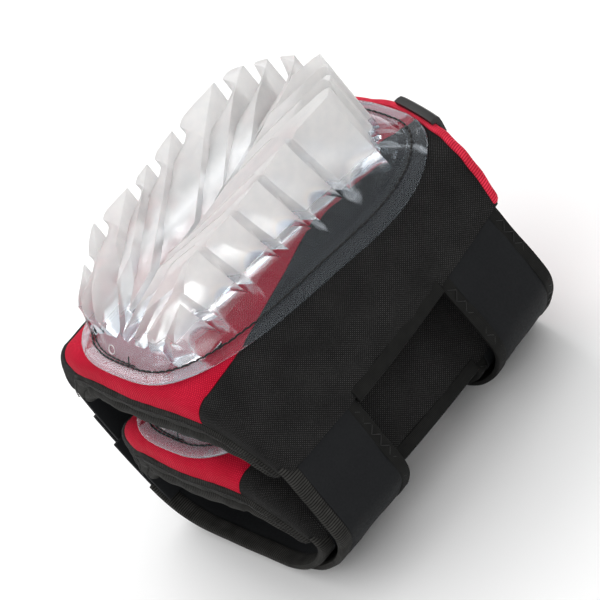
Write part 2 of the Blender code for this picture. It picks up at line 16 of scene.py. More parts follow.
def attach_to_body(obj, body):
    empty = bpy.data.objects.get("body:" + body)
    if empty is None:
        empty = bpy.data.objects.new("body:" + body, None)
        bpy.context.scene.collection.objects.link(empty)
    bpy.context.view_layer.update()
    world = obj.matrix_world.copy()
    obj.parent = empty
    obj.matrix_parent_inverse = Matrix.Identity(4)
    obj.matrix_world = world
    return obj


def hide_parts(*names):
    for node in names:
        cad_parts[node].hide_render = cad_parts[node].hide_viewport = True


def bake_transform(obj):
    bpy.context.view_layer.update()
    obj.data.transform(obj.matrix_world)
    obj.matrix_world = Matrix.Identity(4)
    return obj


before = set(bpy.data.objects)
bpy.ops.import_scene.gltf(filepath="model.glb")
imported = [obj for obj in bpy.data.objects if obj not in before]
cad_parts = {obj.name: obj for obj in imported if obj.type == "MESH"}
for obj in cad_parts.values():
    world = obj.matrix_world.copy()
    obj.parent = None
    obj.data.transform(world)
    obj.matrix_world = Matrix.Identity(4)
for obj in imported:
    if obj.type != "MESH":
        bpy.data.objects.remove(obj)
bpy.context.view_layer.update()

ROW_SHIFT = np.array([1.77, -2.10, 170.0])
MM = 0.001

# ---- the CAD part's own dimensions
FLOOR_Z = -170.0
SHIN_END_Y, THIGH_END_Y = -116.0, 125.0
SHIN_SETBACK, THIGH_SETBACK = 10.0, 19.0
HALF_WIDTHS = (108.9, 98.0, 85.7)
EDGE_LEVELS = (-60.5, -64.7, -59.9)
SECTION_POWER = 4.9
EDGE_TAPER = 0.42
FLANGE_HALF = (73.0, 116.5)
FLANGE_CENTRE_Y = 1.7
FLANGE_POWER = 3.1
STRAP_THICK = 3.2
LAYER_GAP = 0.3
BOTTOM_STRAP_Y = (-106.0, -44.0)
TOP_STRAP_Y = (42.0, 102.0)
STRAP_FLAT_HALF = 36.0
TAB_LENGTH = 33.0
SEAM_GAP = 2.8

RNG = np.random.default_rng(7)


def to_row(points):
    return (np.asarray(points, float) + ROW_SHIFT) * MM


# ---- meshes
def store_uv(mesh, values):
    """Gives every corner its point's pair of values, in the cloth layer."""
    layer = mesh.uv_layers.get("cloth") or mesh.uv_layers.new(name="cloth")
    corners = np.zeros(len(mesh.loops), np.int32)
    mesh.loops.foreach_get("vertex_index", corners)
    layer.data.foreach_set("uv", np.asarray(values, float)[corners].reshape(-1))


def add_mesh(name, points, faces, uv=None, material=None, sharp=38.0):
    mesh = bpy.data.meshes.new(name)
    mesh.from_pydata(to_row(points).tolist(), [], [tuple(int(i) for i in f) for f in faces])
    if uv is not None:
        store_uv(mesh, uv)
    if material is not None:
        mesh.materials.append(material)
    mesh.update()
    mesh.shade_smooth()
    mesh.set_sharp_from_angle(angle=math.radians(sharp))
    obj = bpy.data.objects.new(name, mesh)
    bpy.context.scene.collection.objects.link(obj)
    return obj


def place(obj, pad, node=None):
    """A piece that follows its pad, and in the place of a CAD node if one is named."""
    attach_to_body(obj, pad.body)
    if node is not None:
        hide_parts(f"{pad.prefix}_{node}")


def run_length(path):
    """Distance along a path at each of its points."""
    return np.concatenate([[0.0], np.cumsum(np.linalg.norm(np.diff(path, axis=0), axis=1))])


def signed_volume(points, faces):
    points = np.asarray(points, float)
    total = 0.0
    for face in faces:
        a = points[face[0]]
        for i in range(1, len(face) - 1):
            total += np.dot(a, np.cross(points[face[i]], points[face[i + 1]]))
    return total


def outward(points, faces):
    if signed_volume(points, faces) < 0.0:
        return [tuple(reversed(f)) for f in faces]
    return faces


def grid_faces(rows, columns, start=0, flip=False, wrap=False):
    faces = []
    last = columns if wrap else columns - 1
    for r in range(rows - 1):
        for c in range(last):
            d = (c + 1) % columns
            quad = (start + r * columns + c, start + r * columns + d,
                    start + (r + 1) * columns + d, start + (r + 1) * columns + c)
            faces.append(quad[::-1] if flip else quad)
    return faces


def sweep_faces(stations, section):
    """Faces of a closed section swept through its stations, with a flat face at each end."""
    faces = grid_faces(stations, section, wrap=True)
    faces.append(tuple(range(section))[::-1])
    faces.append(tuple((stations - 1) * section + i for i in range(section)))
    return faces


def sheet_solid(name, outer, inner, uv, material, sharp=38.0):
    """Two grids of points, (rows, columns, 3), joined into one closed sheet."""
    rows, columns = outer.shape[:2]
    count = rows * columns
    points = np.concatenate([outer.reshape(-1, 3), inner.reshape(-1, 3)])
    faces = grid_faces(rows, columns) + grid_faces(rows, columns, count, flip=True)
    rim = list(range(columns))
    rim += [r * columns + columns - 1 for r in range(1, rows)]
    rim += [(rows - 1) * columns + c for c in range(columns - 2, -1, -1)]
    rim += [r * columns for r in range(rows - 2, 0, -1)]
    for i, a in enumerate(rim):
        b = rim[(i + 1) % len(rim)]
        faces.append((b, a, count + a, count + b))
    uvs = np.concatenate([uv.reshape(-1, 2), uv.reshape(-1, 2)])
    return add_mesh(name, points, outward(points, faces), uvs, material, sharp)


def loop_solid(name, rings, uv, material, sharp=38.0):
    """Rings of points, (stations, section, 3), swept into one closed body with flat ends."""
    stations, section = rings.shape[:2]
    points = rings.reshape(-1, 3)
    faces = outward(points, sweep_faces(stations, section))
    return add_mesh(name, points, faces, uv.reshape(-1, 2), material, sharp)


def tube(path, radius, sides=6):
    """Points and faces of a short thread along a path of points, thinner at both ends."""
    path = np.asarray(path, float)
    count = len(path)
    tangent = np.gradient(path, axis=0)
    tangent /= np.linalg.norm(tangent, axis=1)[:, None] + 1e-9
    up = np.array([0.31, 0.22, 0.92])
    points = []
    for i in range(count):
        side = np.cross(tangent[i], up)
        side /= np.linalg.norm(side) + 1e-9
        other = np.cross(side, tangent[i])
        r = radius * (0.55 if i in (0, count - 1) else 1.0)
        for k in range(sides):
            angle = 2.0 * math.pi * k / sides
            points.append(path[i] + r * (math.cos(angle) * side + math.sin(angle) * other))
    return points, outward(points, sweep_faces(count, sides))


class Bundle:
    """Gathers many small closed bodies into one mesh."""

    def __init__(self):
        self.points = []
        self.faces = []

    def add(self, points, faces):
        start = len(self.points)
        self.points += [tuple(p) for p in points]
        self.faces += [tuple(start + i for i in f) for f in faces]

    def thread(self, path, radius, sides=6):
        self.add(*tube(path, radius, sides))

    def build(self, name, material):
        points = np.array(self.points)
        return add_mesh(name, points, self.faces, points[:, :2], material, 60.0)


# ---- the padded shell's surface
def smoothstep(t):
    t = np.clip(t, 0.0, 1.0)
    return t * t * (3.0 - 2.0 * t)


def parabola(values, y):
    """The parabola through three values at Y of -105, 0 and 105."""
    low, middle, high = values
    t = y / 105.0
    return middle + (high - low) / 2.0 * t + (high + low - 2.0 * middle) / 2.0 * t * t


def crown(y):
    return -0.0008 * (y + 36.0) ** 2


class Pad:
    """One knee pad's surface: across runs from -1 to 1 along the section's arc, y along the leg, and
    depth is the distance outside the fabric."""

    YS = np.linspace(-150.0, 150.0, 61)
    STEPS = 160

    def __init__(self, prefix, body, shift=(0.0, 0.0, 0.0), slope=0.0, narrowing=0.0, squeeze=1.0):
        self.prefix, self.body, self.squeeze = prefix, body, squeeze
        self.shift, self.slope, self.narrowing = np.array(shift), slope, narrowing
        f = np.linspace(0.0, 1.0, self.STEPS)
        arc = self.arcs(f, narrowing)
        self.total = arc[:, -1]
        self.f_of_share = np.array([np.interp(f, a / a[-1], f) for a in arc])
        self.share_of_x = self.arcs(f, 0.0) / self.total[:, None]

    def arcs(self, f, narrowing):
        """Arc length along the section at each row of YS, for shares f of the half-width."""
        width = (parabola(HALF_WIDTHS, self.YS) - narrowing)[:, None]
        drop = self.drop(self.YS)[:, None]
        x, z = width * f, -drop * f ** SECTION_POWER
        step = np.hypot(np.diff(x, axis=1), np.diff(z, axis=1))
        return np.concatenate([np.zeros((len(self.YS), 1)), np.cumsum(step, axis=1)], axis=1)

    @staticmethod
    def drop(y):
        return crown(y) - parabola(EDGE_LEVELS, y)

    def look(self, table, y, t):
        """Reads a table of YS by shares, between its entries."""
        ny, nt = table.shape
        iy = np.clip((y - self.YS[0]) / (self.YS[1] - self.YS[0]), 0.0, ny - 1.001)
        it = np.clip(t, 0.0, 1.0) * (nt - 1)
        it = np.minimum(it, nt - 1.001)
        a, b = iy.astype(int), it.astype(int)
        p, q = iy - a, it - b
        return ((table[a, b] * (1 - q) + table[a, b + 1] * q) * (1 - p)
                + (table[a + 1, b] * (1 - q) + table[a + 1, b + 1] * q) * p)

    def half_width(self, y):
        return parabola(HALF_WIDTHS, y) - self.narrowing

    def arc_length(self, y):
        return np.interp(y, self.YS, self.total)

    def across_of(self, x, y):
        """Where a place on the unsqueezed pad lies along this pad's section, as a share of its arc."""
        x, y = np.broadcast_arrays(np.asarray(x, float), np.asarray(y, float))
        t = np.abs(x) / parabola(HALF_WIDTHS, y)
        return np.sign(x) * self.look(self.share_of_x, y, t)

    def point(self, across, y, depth):
        across, y, depth = np.broadcast_arrays(
            np.asarray(across, float), np.asarray(y, float), np.asarray(depth, float))
        size = np.abs(across)
        f = self.look(self.f_of_share, y, size)
        width = self.half_width(y)
        drop = self.drop(y)
        slope = drop * SECTION_POWER / width * f ** (SECTION_POWER - 1.0)
        length = np.hypot(slope, 1.0)
        thin = 1.0 - EDGE_TAPER * smoothstep((size - 0.7) / 0.3)
        depth = np.where(depth < 0.0, depth * thin, depth)
        over = np.maximum(size - 1.0, 0.0) * self.arc_length(y)
        x = f * width + depth * slope / length + over / length
        z = crown(y) - drop * f ** SECTION_POWER + depth / length - over * slope / length
        x = np.where(across < 0.0, -x, x)
        return np.stack([x, y, z + self.slope * y], axis=-1) + self.shift

    def flat(self, x, y, depth):
        return self.point(self.across_of(x * self.squeeze, y), y, depth)

    @staticmethod
    def end_y(across, share):
        size = np.abs(across)
        low = SHIN_END_Y + SHIN_SETBACK * size ** 1.5
        high = THIGH_END_Y - THIGH_SETBACK * size ** 1.2
        return low + (high - low) * share


def waves(u, v, seed, scale, count=9):
    """Smooth unevenness of about unit size, the same on every run."""
    rng = np.random.default_rng(seed)
    total = np.zeros(np.broadcast(u, v).shape)
    for _ in range(count):
        angle = rng.uniform(0.0, math.pi)
        length = scale * rng.uniform(0.6, 1.9)
        phase = rng.uniform(0.0, 2.0 * math.pi)
        total += np.sin((np.cos(angle) * u + np.sin(angle) * v) * 2.0 * math.pi / length + phase)
    return total / math.sqrt(count)


# ---- materials
class Shader:
    """A small helper that builds one node material."""

    def __init__(self, name):
        self.material = bpy.data.materials.new(name)
        self.material.use_nodes = True
        self.tree = self.material.node_tree
        self.bsdf = self.tree.nodes["Principled BSDF"]

    def node(self, kind, **values):
        node = self.tree.nodes.new(kind)
        for key, value in values.items():
            setattr(node, key, value)
        return node

    def feed(self, socket, value):
        if isinstance(value, bpy.types.NodeSocket):
            self.tree.links.new(value, socket)
        else:
            socket.default_value = value

    def math(self, operation, a, b=0.0, c=0.0):
        node = self.node("ShaderNodeMath", operation=operation)
        for i, value in enumerate((a, b, c)):
            self.feed(node.inputs[i], value)
        return node.outputs[0]

    def cloth_uv(self):
        split = self.node("ShaderNodeSeparateXYZ")
        uv = self.node("ShaderNodeUVMap", uv_map="cloth")
        self.feed(split.inputs[0], uv.outputs[0])
        return split.outputs[0], split.outputs[1]

    def times(self, a, b):
        return self.math("MULTIPLY", a, b)

    def ribs(self, value, pitch):
        """Waves from 0 to 1, one for each pitch."""
        return self.math("ABSOLUTE", self.math("SINE", self.times(value, math.pi / pitch)))

    def noise(self, scale, detail=3.0):
        node = self.node("ShaderNodeTexNoise")
        self.feed(node.inputs["Vector"], self.node("ShaderNodeTexCoord").outputs["Object"])
        node.inputs["Scale"].default_value = scale
        node.inputs["Detail"].default_value = detail
        return node.outputs[0]

    def mix(self, factor, a, b):
        node = self.node("ShaderNodeMix", data_type="RGBA")
        self.feed(node.inputs[0], factor)
        self.feed(node.inputs[6], a)
        self.feed(node.inputs[7], b)
        return node.outputs[2]

    def remap(self, value, low, high, new_low, new_high):
        node = self.node("ShaderNodeMapRange")
        for i, v in enumerate((value, low, high, new_low, new_high)):
            self.feed(node.inputs[i], v)
        return node.outputs[0]

    def bump(self, height, distance, strength):
        node = self.node("ShaderNodeBump")
        node.inputs["Strength"].default_value = strength
        node.inputs["Distance"].default_value = distance
        self.feed(node.inputs["Height"], height)
        return node.outputs[0]

    def set(self, **values):
        for key, value in values.items():
            self.feed(self.bsdf.inputs[key.replace("_", " ")], value)
        return self.material


def rgb(r, g, b):
    return (r, g, b, 1.0)


def woven(name, dark, light, pitch, specular, depth=0.00028):
    """A plain weave: warp and weft threads that pass over and under each other. Its colour is painted shade
    in the hollows and a painted highlight on the thread crowns, with random tone over both.
    """
    s = Shader(name)
    u, v = s.cloth_uv()
    pu, pv = s.math("DIVIDE", u, pitch), s.math("DIVIDE", v, pitch)
    vector = s.node("ShaderNodeCombineXYZ")
    s.feed(vector.inputs[0], pu)
    s.feed(vector.inputs[1], pv)
    checker = s.node("ShaderNodeTexChecker")
    s.feed(checker.inputs["Vector"], vector.outputs[0])
    checker.inputs["Scale"].default_value = 1.0
    over = s.times(s.ribs(u, pitch), s.ribs(v, pitch))
    thread = s.node("ShaderNodeMix", data_type="FLOAT")
    s.feed(thread.inputs[0], checker.outputs["Fac"])
    s.feed(thread.inputs[2], s.math("POWER", over, 0.8))
    s.feed(thread.inputs[3], s.times(s.math("POWER", over, 1.5), 0.4))
    height = thread.outputs[0]
    patch = s.noise(45.0, 4.0)
    fine = s.noise(1100.0, 2.0)
    shade = s.times(height, s.remap(fine, 0.25, 0.75, 0.55, 1.35))
    # painted light: dark in the hollows as painted shade, light on the thread crowns as painted highlights,
    # varied by random tone
    colour = s.mix(s.times(shade, s.remap(patch, 0.3, 0.7, 0.7, 1.15)), dark, light)
    return s.set(Base_Color=colour, Roughness=s.remap(height, 0.0, 1.0, 0.85, 0.6),
                 Specular_IOR_Level=specular, Normal=s.bump(height, depth, 0.9))


FINE_THREAD = 0.6


def ribbed(name, dark, light, pitch, specular, depth=0.0003):
    """Grosgrain: cords across the tape, with fine threads along it. Its colour is painted shade between the
    cords and a painted highlight on their crests, with random tone over both.
    """
    s = Shader(name)
    u, v = s.cloth_uv()
    cords = s.math("POWER", s.ribs(u, pitch), 1.1)
    height = s.times(cords, s.remap(s.ribs(v, FINE_THREAD), 0.0, 1.0, 0.7, 1.0))
    worn = s.noise(150.0, 4.0)
    shade = s.times(height, s.remap(worn, 0.3, 0.7, 0.6, 1.15))
    # painted light: the colour runs from painted shade between the cords to a painted highlight on their
    # crests
    return s.set(Base_Color=s.mix(shade, dark, light), Roughness=0.7, Specular_IOR_Level=specular,
                 Normal=s.bump(height, depth, 0.9))


def neoprene(name, base, worn):
    s = Shader(name)
    fine = s.noise(2600.0, 2.0)
    knit = s.noise(700.0, 3.0)
    patch = s.noise(24.0, 4.0)
    colour = s.mix(s.remap(patch, 0.35, 0.75, 0.0, 0.6), base, worn)
    height = s.math("ADD", s.times(fine, 0.6), s.times(knit, 0.5))
    return s.set(Base_Color=colour, Roughness=s.remap(knit, 0.3, 0.7, 0.62, 0.78),
                 Specular_IOR_Level=0.14, Normal=s.bump(height, 0.00012, 0.6))


def clear_moulding(name):
    """Soft clear TPU: nearly clear in the thin skirt and under the arches, milky in the thick lugs, with a
    painted cream highlight along the rim over each arch. The cloth layer holds the height over the fabric
    and the depth below an arch's line, in millimetres."""
    s = Shader(name)
    height, below = s.cloth_uv()
    under_arch = s.remap(below, -1.0, 3.0, 0.0, 1.0)
    over_arch = s.math("SUBTRACT", 1.0, under_arch)
    # rim: the band just over each arch's line, painted with a cream highlight and made a little less clear
    rim = s.times(s.remap(below, -5.0, -1.0, 0.0, 1.0), over_arch)
    haze = s.remap(s.noise(160.0, 4.0), 0.35, 0.7, 0.0, 1.0)
    milk = s.mix(haze, rgb(0.93, 0.92, 0.91), rgb(0.87, 0.87, 0.87))
    # from here milk holds the milky tone and the painted cream highlight over each arch
    milk = s.mix(rim, milk, rgb(0.97, 0.93, 0.89))
    thick = s.times(s.remap(height, 12.0, 24.0, 0.0, 1.0), over_arch)
    solid = s.remap(height, 13.0, 32.0, 0.15, 0.50)
    solid = s.times(solid, s.remap(under_arch, 0.0, 1.0, 1.0, 0.1))
    clear = s.math("SUBTRACT", 1.0, s.math("ADD", solid, s.times(rim, 0.12)))
    return s.set(Base_Color=s.mix(thick, rgb(0.86, 0.93, 1.0), milk), Transmission_Weight=clear, IOR=1.22,
                 Roughness=s.remap(height, 12.0, 26.0, 0.08, 0.42), Specular_IOR_Level=0.32,
                 Normal=s.bump(s.noise(55.0, 2.0), 0.0005, 0.3))


def plain(name, colour, roughness, depth=0.0001, scale=900.0, **more):
    s = Shader(name)
    grain = s.noise(scale, 3.0)
    tone = s.mix(s.remap(grain, 0.3, 0.7, 0.0, 1.0), rgb(*[c * 0.75 for c in colour]),
                 rgb(*[min(1.0, c * 1.25) for c in colour]))
    return s.set(Base_Color=tone, Roughness=roughness, Normal=s.bump(grain, depth, 0.7), **more)


# In each weave and ribbed tape below, the first colour is the painted shade in the hollows and the second
# the painted highlight on the thread crowns or cord crests.
BLACK_WEAVE = woven("black_weave", rgb(0.0018, 0.0018, 0.0019), rgb(0.062, 0.061, 0.06), 0.85, 0.06)
RED_WEAVE = woven("red_weave", rgb(0.34, 0.0015, 0.013), rgb(0.92, 0.028, 0.085), 0.85, 0.08)
BINDING = ribbed("grosgrain", rgb(0.0018, 0.0018, 0.0017), rgb(0.050, 0.049, 0.046), 1.7, 0.06)
HEM_TAPE = ribbed("hem_tape", rgb(0.004, 0.004, 0.004), rgb(0.016, 0.016, 0.015), 0.9, 0.08, 0.00012)
RED_BAND = ribbed("red_grosgrain", rgb(0.30, 0.002, 0.012), rgb(0.95, 0.05, 0.10), 1.9, 0.1)
NEOPRENE = neoprene("neoprene_jersey", rgb(0.0070, 0.0076, 0.0086), rgb(0.011, 0.0118, 0.0132))
LINING = plain("lining_jersey", (0.0045, 0.0045, 0.005), 0.8, 0.00015, 1200.0, Specular_IOR_Level=0.12)
CLEAR = clear_moulding("clear_tpu")
THREAD = plain("black_thread", (0.006, 0.006, 0.006), 0.5, 0.00005, 3000.0, Specular_IOR_Level=0.4)
FOAM = plain("closed_cell_foam", (0.08, 0.08, 0.09), 0.9, 0.0003, 1500.0)
GEL = plain("blue_gel", (0.25, 0.45, 0.62), 0.25, 0.00004, 200.0)
HOOKS = plain("hook_tape", (0.02, 0.02, 0.02), 0.6, 0.0006, 1400.0)
LOOPS = plain("loop_tape", (0.025, 0.025, 0.026), 0.95, 0.0006, 700.0, Sheen_Weight=0.4)
RUBBER = plain("label_rubber", (0.008, 0.008, 0.008), 0.5, 0.00005, 800.0, Specular_IOR_Level=0.3)
MARK = plain("moulded_mark", (0.72, 0.60, 0.62), 0.2, 0.00003, 800.0)
LABEL_PRINT = plain("label_print", (0.75, 0.75, 0.74), 0.5, 0.00003, 800.0)


# ---- fabric over the foam
def seam_x(y):
    return 47.5 - 21.0 * np.sin(math.pi * np.clip(y, -100.0, 100.0) / 200.0)


def flange_size(x, y):
    """How far out a place is: 1 on the flange's edge."""
    a = np.abs(x) / FLANGE_HALF[0]
    b = np.abs(y - FLANGE_CENTRE_Y) / FLANGE_HALF[1]
    return (a ** FLANGE_POWER + b ** FLANGE_POWER) ** (1.0 / FLANGE_POWER)


def softness(pad, across, y):
    """How far the stretched fabric rises or dips: uneven tension, sewn seams, and pulls at the cap."""
    s = across * pad.arc_length(y)
    seed = 3 if pad.prefix == "upper" else 5
    rise = 0.45 * waves(s, y, seed, 62.0) + 0.16 * waves(s, y, seed + 1, 17.0)
    seam = pad.across_of(seam_x(y) * pad.squeeze, y) * pad.arc_length(y)
    rise = rise - 0.9 * np.exp(-((np.abs(s) - seam) / 1.7) ** 2)
    edge = (1.0 - np.abs(across)) * pad.arc_length(y)
    rise = rise - 0.8 * np.exp(-(edge / 2.5) ** 2) + 0.7 * np.exp(-((edge - 8.0) / 7.0) ** 2)
    gap = (flange_size(s, y) - 1.0) * 80.0
    pucker = np.cos(np.arctan2(s, y - FLANGE_CENTRE_Y) * 62.0) * 0.16
    rise = rise + np.where(gap > -4.0, pucker - 0.35, -0.3) * np.exp(-(gap / 5.0) ** 2)
    inside = np.clip((0.97 - flange_size(s, y)) / 0.06, 0.0, 1.0)
    return rise * (1.0 - inside) - 0.15 * inside


def shell_rows(count):
    """(share of the length, offset along Y, depth) for the outer fabric, from under the binding to the
    thigh end."""
    rows = [(0.0, 0.0, -20.0), (0.0, -0.5, -17.0), (0.0, -0.9, -13.5), (0.0, -0.8, -10.5)]
    for angle in np.linspace(8.0, 82.0, 8):
        a = math.radians(angle)
        rows.append((0.0, 9.0 - 9.6 * math.cos(a), -8.4 * (1.0 - math.sin(a))))
    rows += [(0.0, 9.5, 0.0), (0.0, 13.0, 0.0), (0.0, 17.0, 0.0)]
    rows += [(share, 0.0, 0.0) for share in np.linspace(0.09, 0.975, count)]
    rows += [(1.0, -2.6, 0.0), (1.0, -2.0, -0.3)]
    return rows


PANEL_ROWS = 66
FABRIC_THICK = 1.1
SEAM_SHARE = 0.0018               # half the gap at a seam, as a share of the arc


def fabric_panel(pad, name, low, high, columns, material):
    """One woven panel, its edges turned in at the seams. low and high give across for a Y."""
    outer, inner, uv = [], [], []
    t = np.linspace(0.0, 1.0, columns)
    for share, offset, depth in shell_rows(PANEL_ROWS):
        y_mid = pad.end_y(0.5, share) + offset
        across = low(y_mid) + (high(y_mid) - low(y_mid)) * t
        end = pad.end_y(across, share)
        lift = softness(pad, across, end + offset) * (1.0 if depth > -9.0 else 0.45)
        if depth < 0.0 and share == 0.0:
            face = end + offset - lift * 0.8, depth + (lift * 0.4 if depth > -6.0 else 0.0)
            back = end + offset + FABRIC_THICK, depth - 0.5
        else:
            face = end + offset, depth + (lift if depth == 0.0 else 0.0)
            back = end + offset, depth - FABRIC_THICK
        outer.append(pad.point(across, *face))
        inner.append(pad.point(across, *back))
        length = offset + depth if share == 0.0 else 0.0
        uv.append(np.stack([across * pad.arc_length(end + offset), end - SHIN_END_Y + length], axis=-1))
    outer, inner, uv = np.array(outer), np.array(inner), np.array(uv)
    obj = sheet_solid(f"{pad.prefix}_{name}_fabric", outer, inner, uv, material)
    place(obj, pad, f"{name}_panel")


def build_fabric(pad):
    def seam(y):
        return float(pad.across_of(seam_x(y) * pad.squeeze, y))

    fabric_panel(pad, "centre", lambda y: SEAM_SHARE - seam(y), lambda y: seam(y) - SEAM_SHARE, 57,
                 RED_WEAVE)
    fabric_panel(pad, "near_side", lambda y: seam(y) + SEAM_SHARE, lambda y: 1.0, 41,
                 BLACK_WEAVE)
    fabric_panel(pad, "far_side", lambda y: -1.0, lambda y: -seam(y) - SEAM_SHARE, 41,
                 BLACK_WEAVE)


def swept_trim(pad, name, section, material, replaced, share):
    """A tape that runs across the shell at one end. section is a closed loop of (offset, depth)."""
    section = np.array(section)
    middle, lengths = section.mean(axis=0), run_length(section)
    rings, uv = [], []
    for a in np.linspace(-1.0, 1.0, 121):
        arc = a * float(pad.arc_length(0.0))
        wave = 0.35 * float(waves(np.array(arc), np.array(0.0), 11, 26.0))
        close = np.clip((abs(a) - 0.955) / 0.045, 0.0, 1.0)
        near_end = (section - middle) * math.sqrt(1.0 - 0.85 * close ** 2) + middle
        rings.append([pad.point(a, pad.end_y(a, share) + off + wave, depth) for off, depth in near_end])
        uv.append([(arc, length) for length in lengths])
    obj = loop_solid(f"{pad.prefix}_{name}", np.array(rings), np.array(uv), material)
    place(obj, pad, replaced)


SHIN_SECTION = [
    (0.2, -15.8), (-1.2, -16.2), (-2.2, -17.8), (-2.7, -20.2), (-2.6, -22.8), (-2.0, -24.8), (-1.0, -26.0),
    (-2.0, -27.0), (-2.9, -29.0), (-3.0, -31.5), (-2.2, -34.0), (-0.4, -35.9), (2.2, -36.6),
    (4.8, -35.6), (6.6, -33.0), (7.2, -29.0), (7.2, -24.0), (6.0, -22.0), (2.0, -21.6), (1.5, -18.0),
]
THIGH_SECTION = [
    (-5.0, 0.4), (-4.4, 1.5), (-2.4, 2.1), (-0.4, 1.7), (1.0, 0.2), (1.6, -2.4), (1.8, -6.0), (1.6, -9.6),
    (0.6, -12.0), (-1.6, -13.2), (-5.0, -13.2), (-8.6, -13.0), (-8.6, -11.8), (-4.0, -11.9), (-1.2, -11.2),
    (0.0, -8.8), (0.3, -4.0), (-0.6, -1.2), (-2.4, -0.6), (-4.4, -0.6),
]


TAPE_STITCH = 3.2


def build_ends(pad):
    swept_trim(pad, "shin_tape", SHIN_SECTION, BINDING, "shin_binding", 0.0)
    swept_trim(pad, "thigh_tape", THIGH_SECTION, RED_BAND, "thigh_band", 1.0)
    thread = Bundle()
    length = 2.0 * float(pad.arc_length(0.0))
    marks = np.linspace(-0.985, 0.985, int(length / TAPE_STITCH))
    for a, b in zip(marks[:-1], marks[1:]):
        path = []
        for t, lift in ((0.06, -0.25), (0.25, 0.2), (0.5, 0.3), (0.75, 0.2), (0.94, -0.25)):
            across = a + (b - a) * t
            y = float(pad.end_y(across, 0.0)) - 2.9
            path.append(pad.point(across, y - lift, -18.4))
        thread.thread(path, 0.34, 5)
    place(thread.build(f"{pad.prefix}_tape_stitches", THREAD), pad)


HEM_SECTION = [
    (-5.5, 0.3), (-5.2, 0.9), (-3.0, 1.25), (-0.5, 1.3), (2.6, 0.9), (3.6, -0.6), (3.2, -3.2), (1.6, -4.8),
    (-3.0, -5.6), (-7.0, -6.0), (-7.0, -5.0), (-3.0, -4.6), (0.6, -3.6), (1.4, -1.6), (0.0, -0.2),
    (-4.0, -0.1),
]


def build_side_hems(pad):
    """The folded edge of the shell along each side, between and under the straps."""
    arc = float(pad.arc_length(0.0))
    for side, word in ((1.0, "near"), (-1.0, "far")):
        rings, uv = [], []
        for y in np.linspace(BOTTOM_STRAP_Y[1] + 0.6, TOP_STRAP_Y[0] - 0.6, 60):
            wave = 0.25 * float(waves(np.array(y), np.array(0.0), 21, 19.0))
            rings.append([pad.point(side * (1.0 + s / arc), y, d + wave if d > 0.0 else d * 1.5)
                          for s, d in HEM_SECTION])
            uv.append([(y, s) for s, _ in HEM_SECTION])
        obj = loop_solid(f"{pad.prefix}_{word}_side_tape", np.array(rings), np.array(uv), HEM_TAPE)
        place(obj, pad, f"{word}_side_hem")


def build_lining(pad):
    """The jersey lining: it turns out at the sides to meet the fabric, and it is cut loose, so it folds."""
    across = np.linspace(-1.0, 1.0, 121)
    rows = [(0.0, 6.8, -22.6), (0.0, 8.4, -24.4), (0.0, 11.4, -22.6), (0.0, 15.0, -17.6),
            (0.0, 19.0, -12.4), (0.0, 23.0, -10.4)]
    rows += [(share, 0.0, -9.8) for share in np.linspace(0.13, 0.965, 74)]
    rows += [(1.0, -4.2, -9.8), (1.0, -2.4, -10.6)]
    turn = np.clip((np.abs(across) - 0.972) / 0.028, 0.0, 1.0)
    outer, inner, uv = [], [], []
    for share, offset, depth in rows:
        y = pad.end_y(across, share) + offset
        s = across * pad.arc_length(y)
        fold = 0.9 * waves(s, y * 0.35, 31, 17.0) + 0.5 * waves(s * 0.8, y * 0.6, 32, 8.0)
        fold = np.clip(fold + 0.8, 0.0, 2.6)
        level = depth - fold * (1.0 - turn) + turn * (abs(depth) - 1.6)
        outer.append(pad.point(across, y, level + 0.9))
        inner.append(pad.point(across, y, level))
        uv.append(np.stack([s, y], axis=-1))
    outer, inner, uv = np.array(outer), np.array(inner), np.array(uv)
    obj = sheet_solid(f"{pad.prefix}_lining_jersey", outer, inner, uv, LINING)
    place(obj, pad, "lining")


def build_label(pad):
    """A thin rubber label over the thigh band, with plain printed bars."""
    section = [(-2.4, 2.4), (-2.4, 5.4), (0.4, 5.9), (3.0, 5.6), (4.6, 3.4), (4.9, -1.0), (4.8, -8.4),
               (2.6, -8.6), (2.5, -3.0), (2.2, 0.2), (1.4, 1.8), (-0.4, 2.3)]
    rings, uv = [], []
    for a in np.linspace(0.04, 0.43, 25):
        rings.append([pad.point(a, pad.end_y(a, 1.0) + off, depth) for off, depth in section])
        uv.append([(a * 100.0, off) for off, _ in section])
    obj = loop_solid(f"{pad.prefix}_rubber_label", np.array(rings), np.array(uv), RUBBER)
    place(obj, pad, "label_patch")
    bars = Bundle()
    for low, high, top, foot in ((0.10, 0.19, 2.4, 0.6), (0.22, 0.36, 2.4, 0.6),
                                 (0.10, 0.36, -1.4, -2.4), (0.14, 0.32, -4.6, -5.4)):
        corners = ((4.6, top), (5.15, top - 0.1), (5.15, foot + 0.1), (4.6, foot))
        points = np.array([pad.point(a, pad.end_y(a, 1.0) + off, depth)
                           for a in np.linspace(low, high, 5) for off, depth in corners])
        bars.add(points, outward(points, sweep_faces(5, 4)))
    place(bars.build(f"{pad.prefix}_label_print", LABEL_PRINT), pad)


# ---- the clear cap
def oval(half_x, half_y, segments):
    angle = 2.0 * math.pi * (np.arange(segments) + 0.5) / segments
    c, s = np.cos(angle), np.sin(angle)
    x = half_x * np.sign(c) * np.abs(c) ** (2.0 / FLANGE_POWER)
    y = half_y * np.sign(s) * np.abs(s) ** (2.0 / FLANGE_POWER)
    return x, FLANGE_CENTRE_Y + y


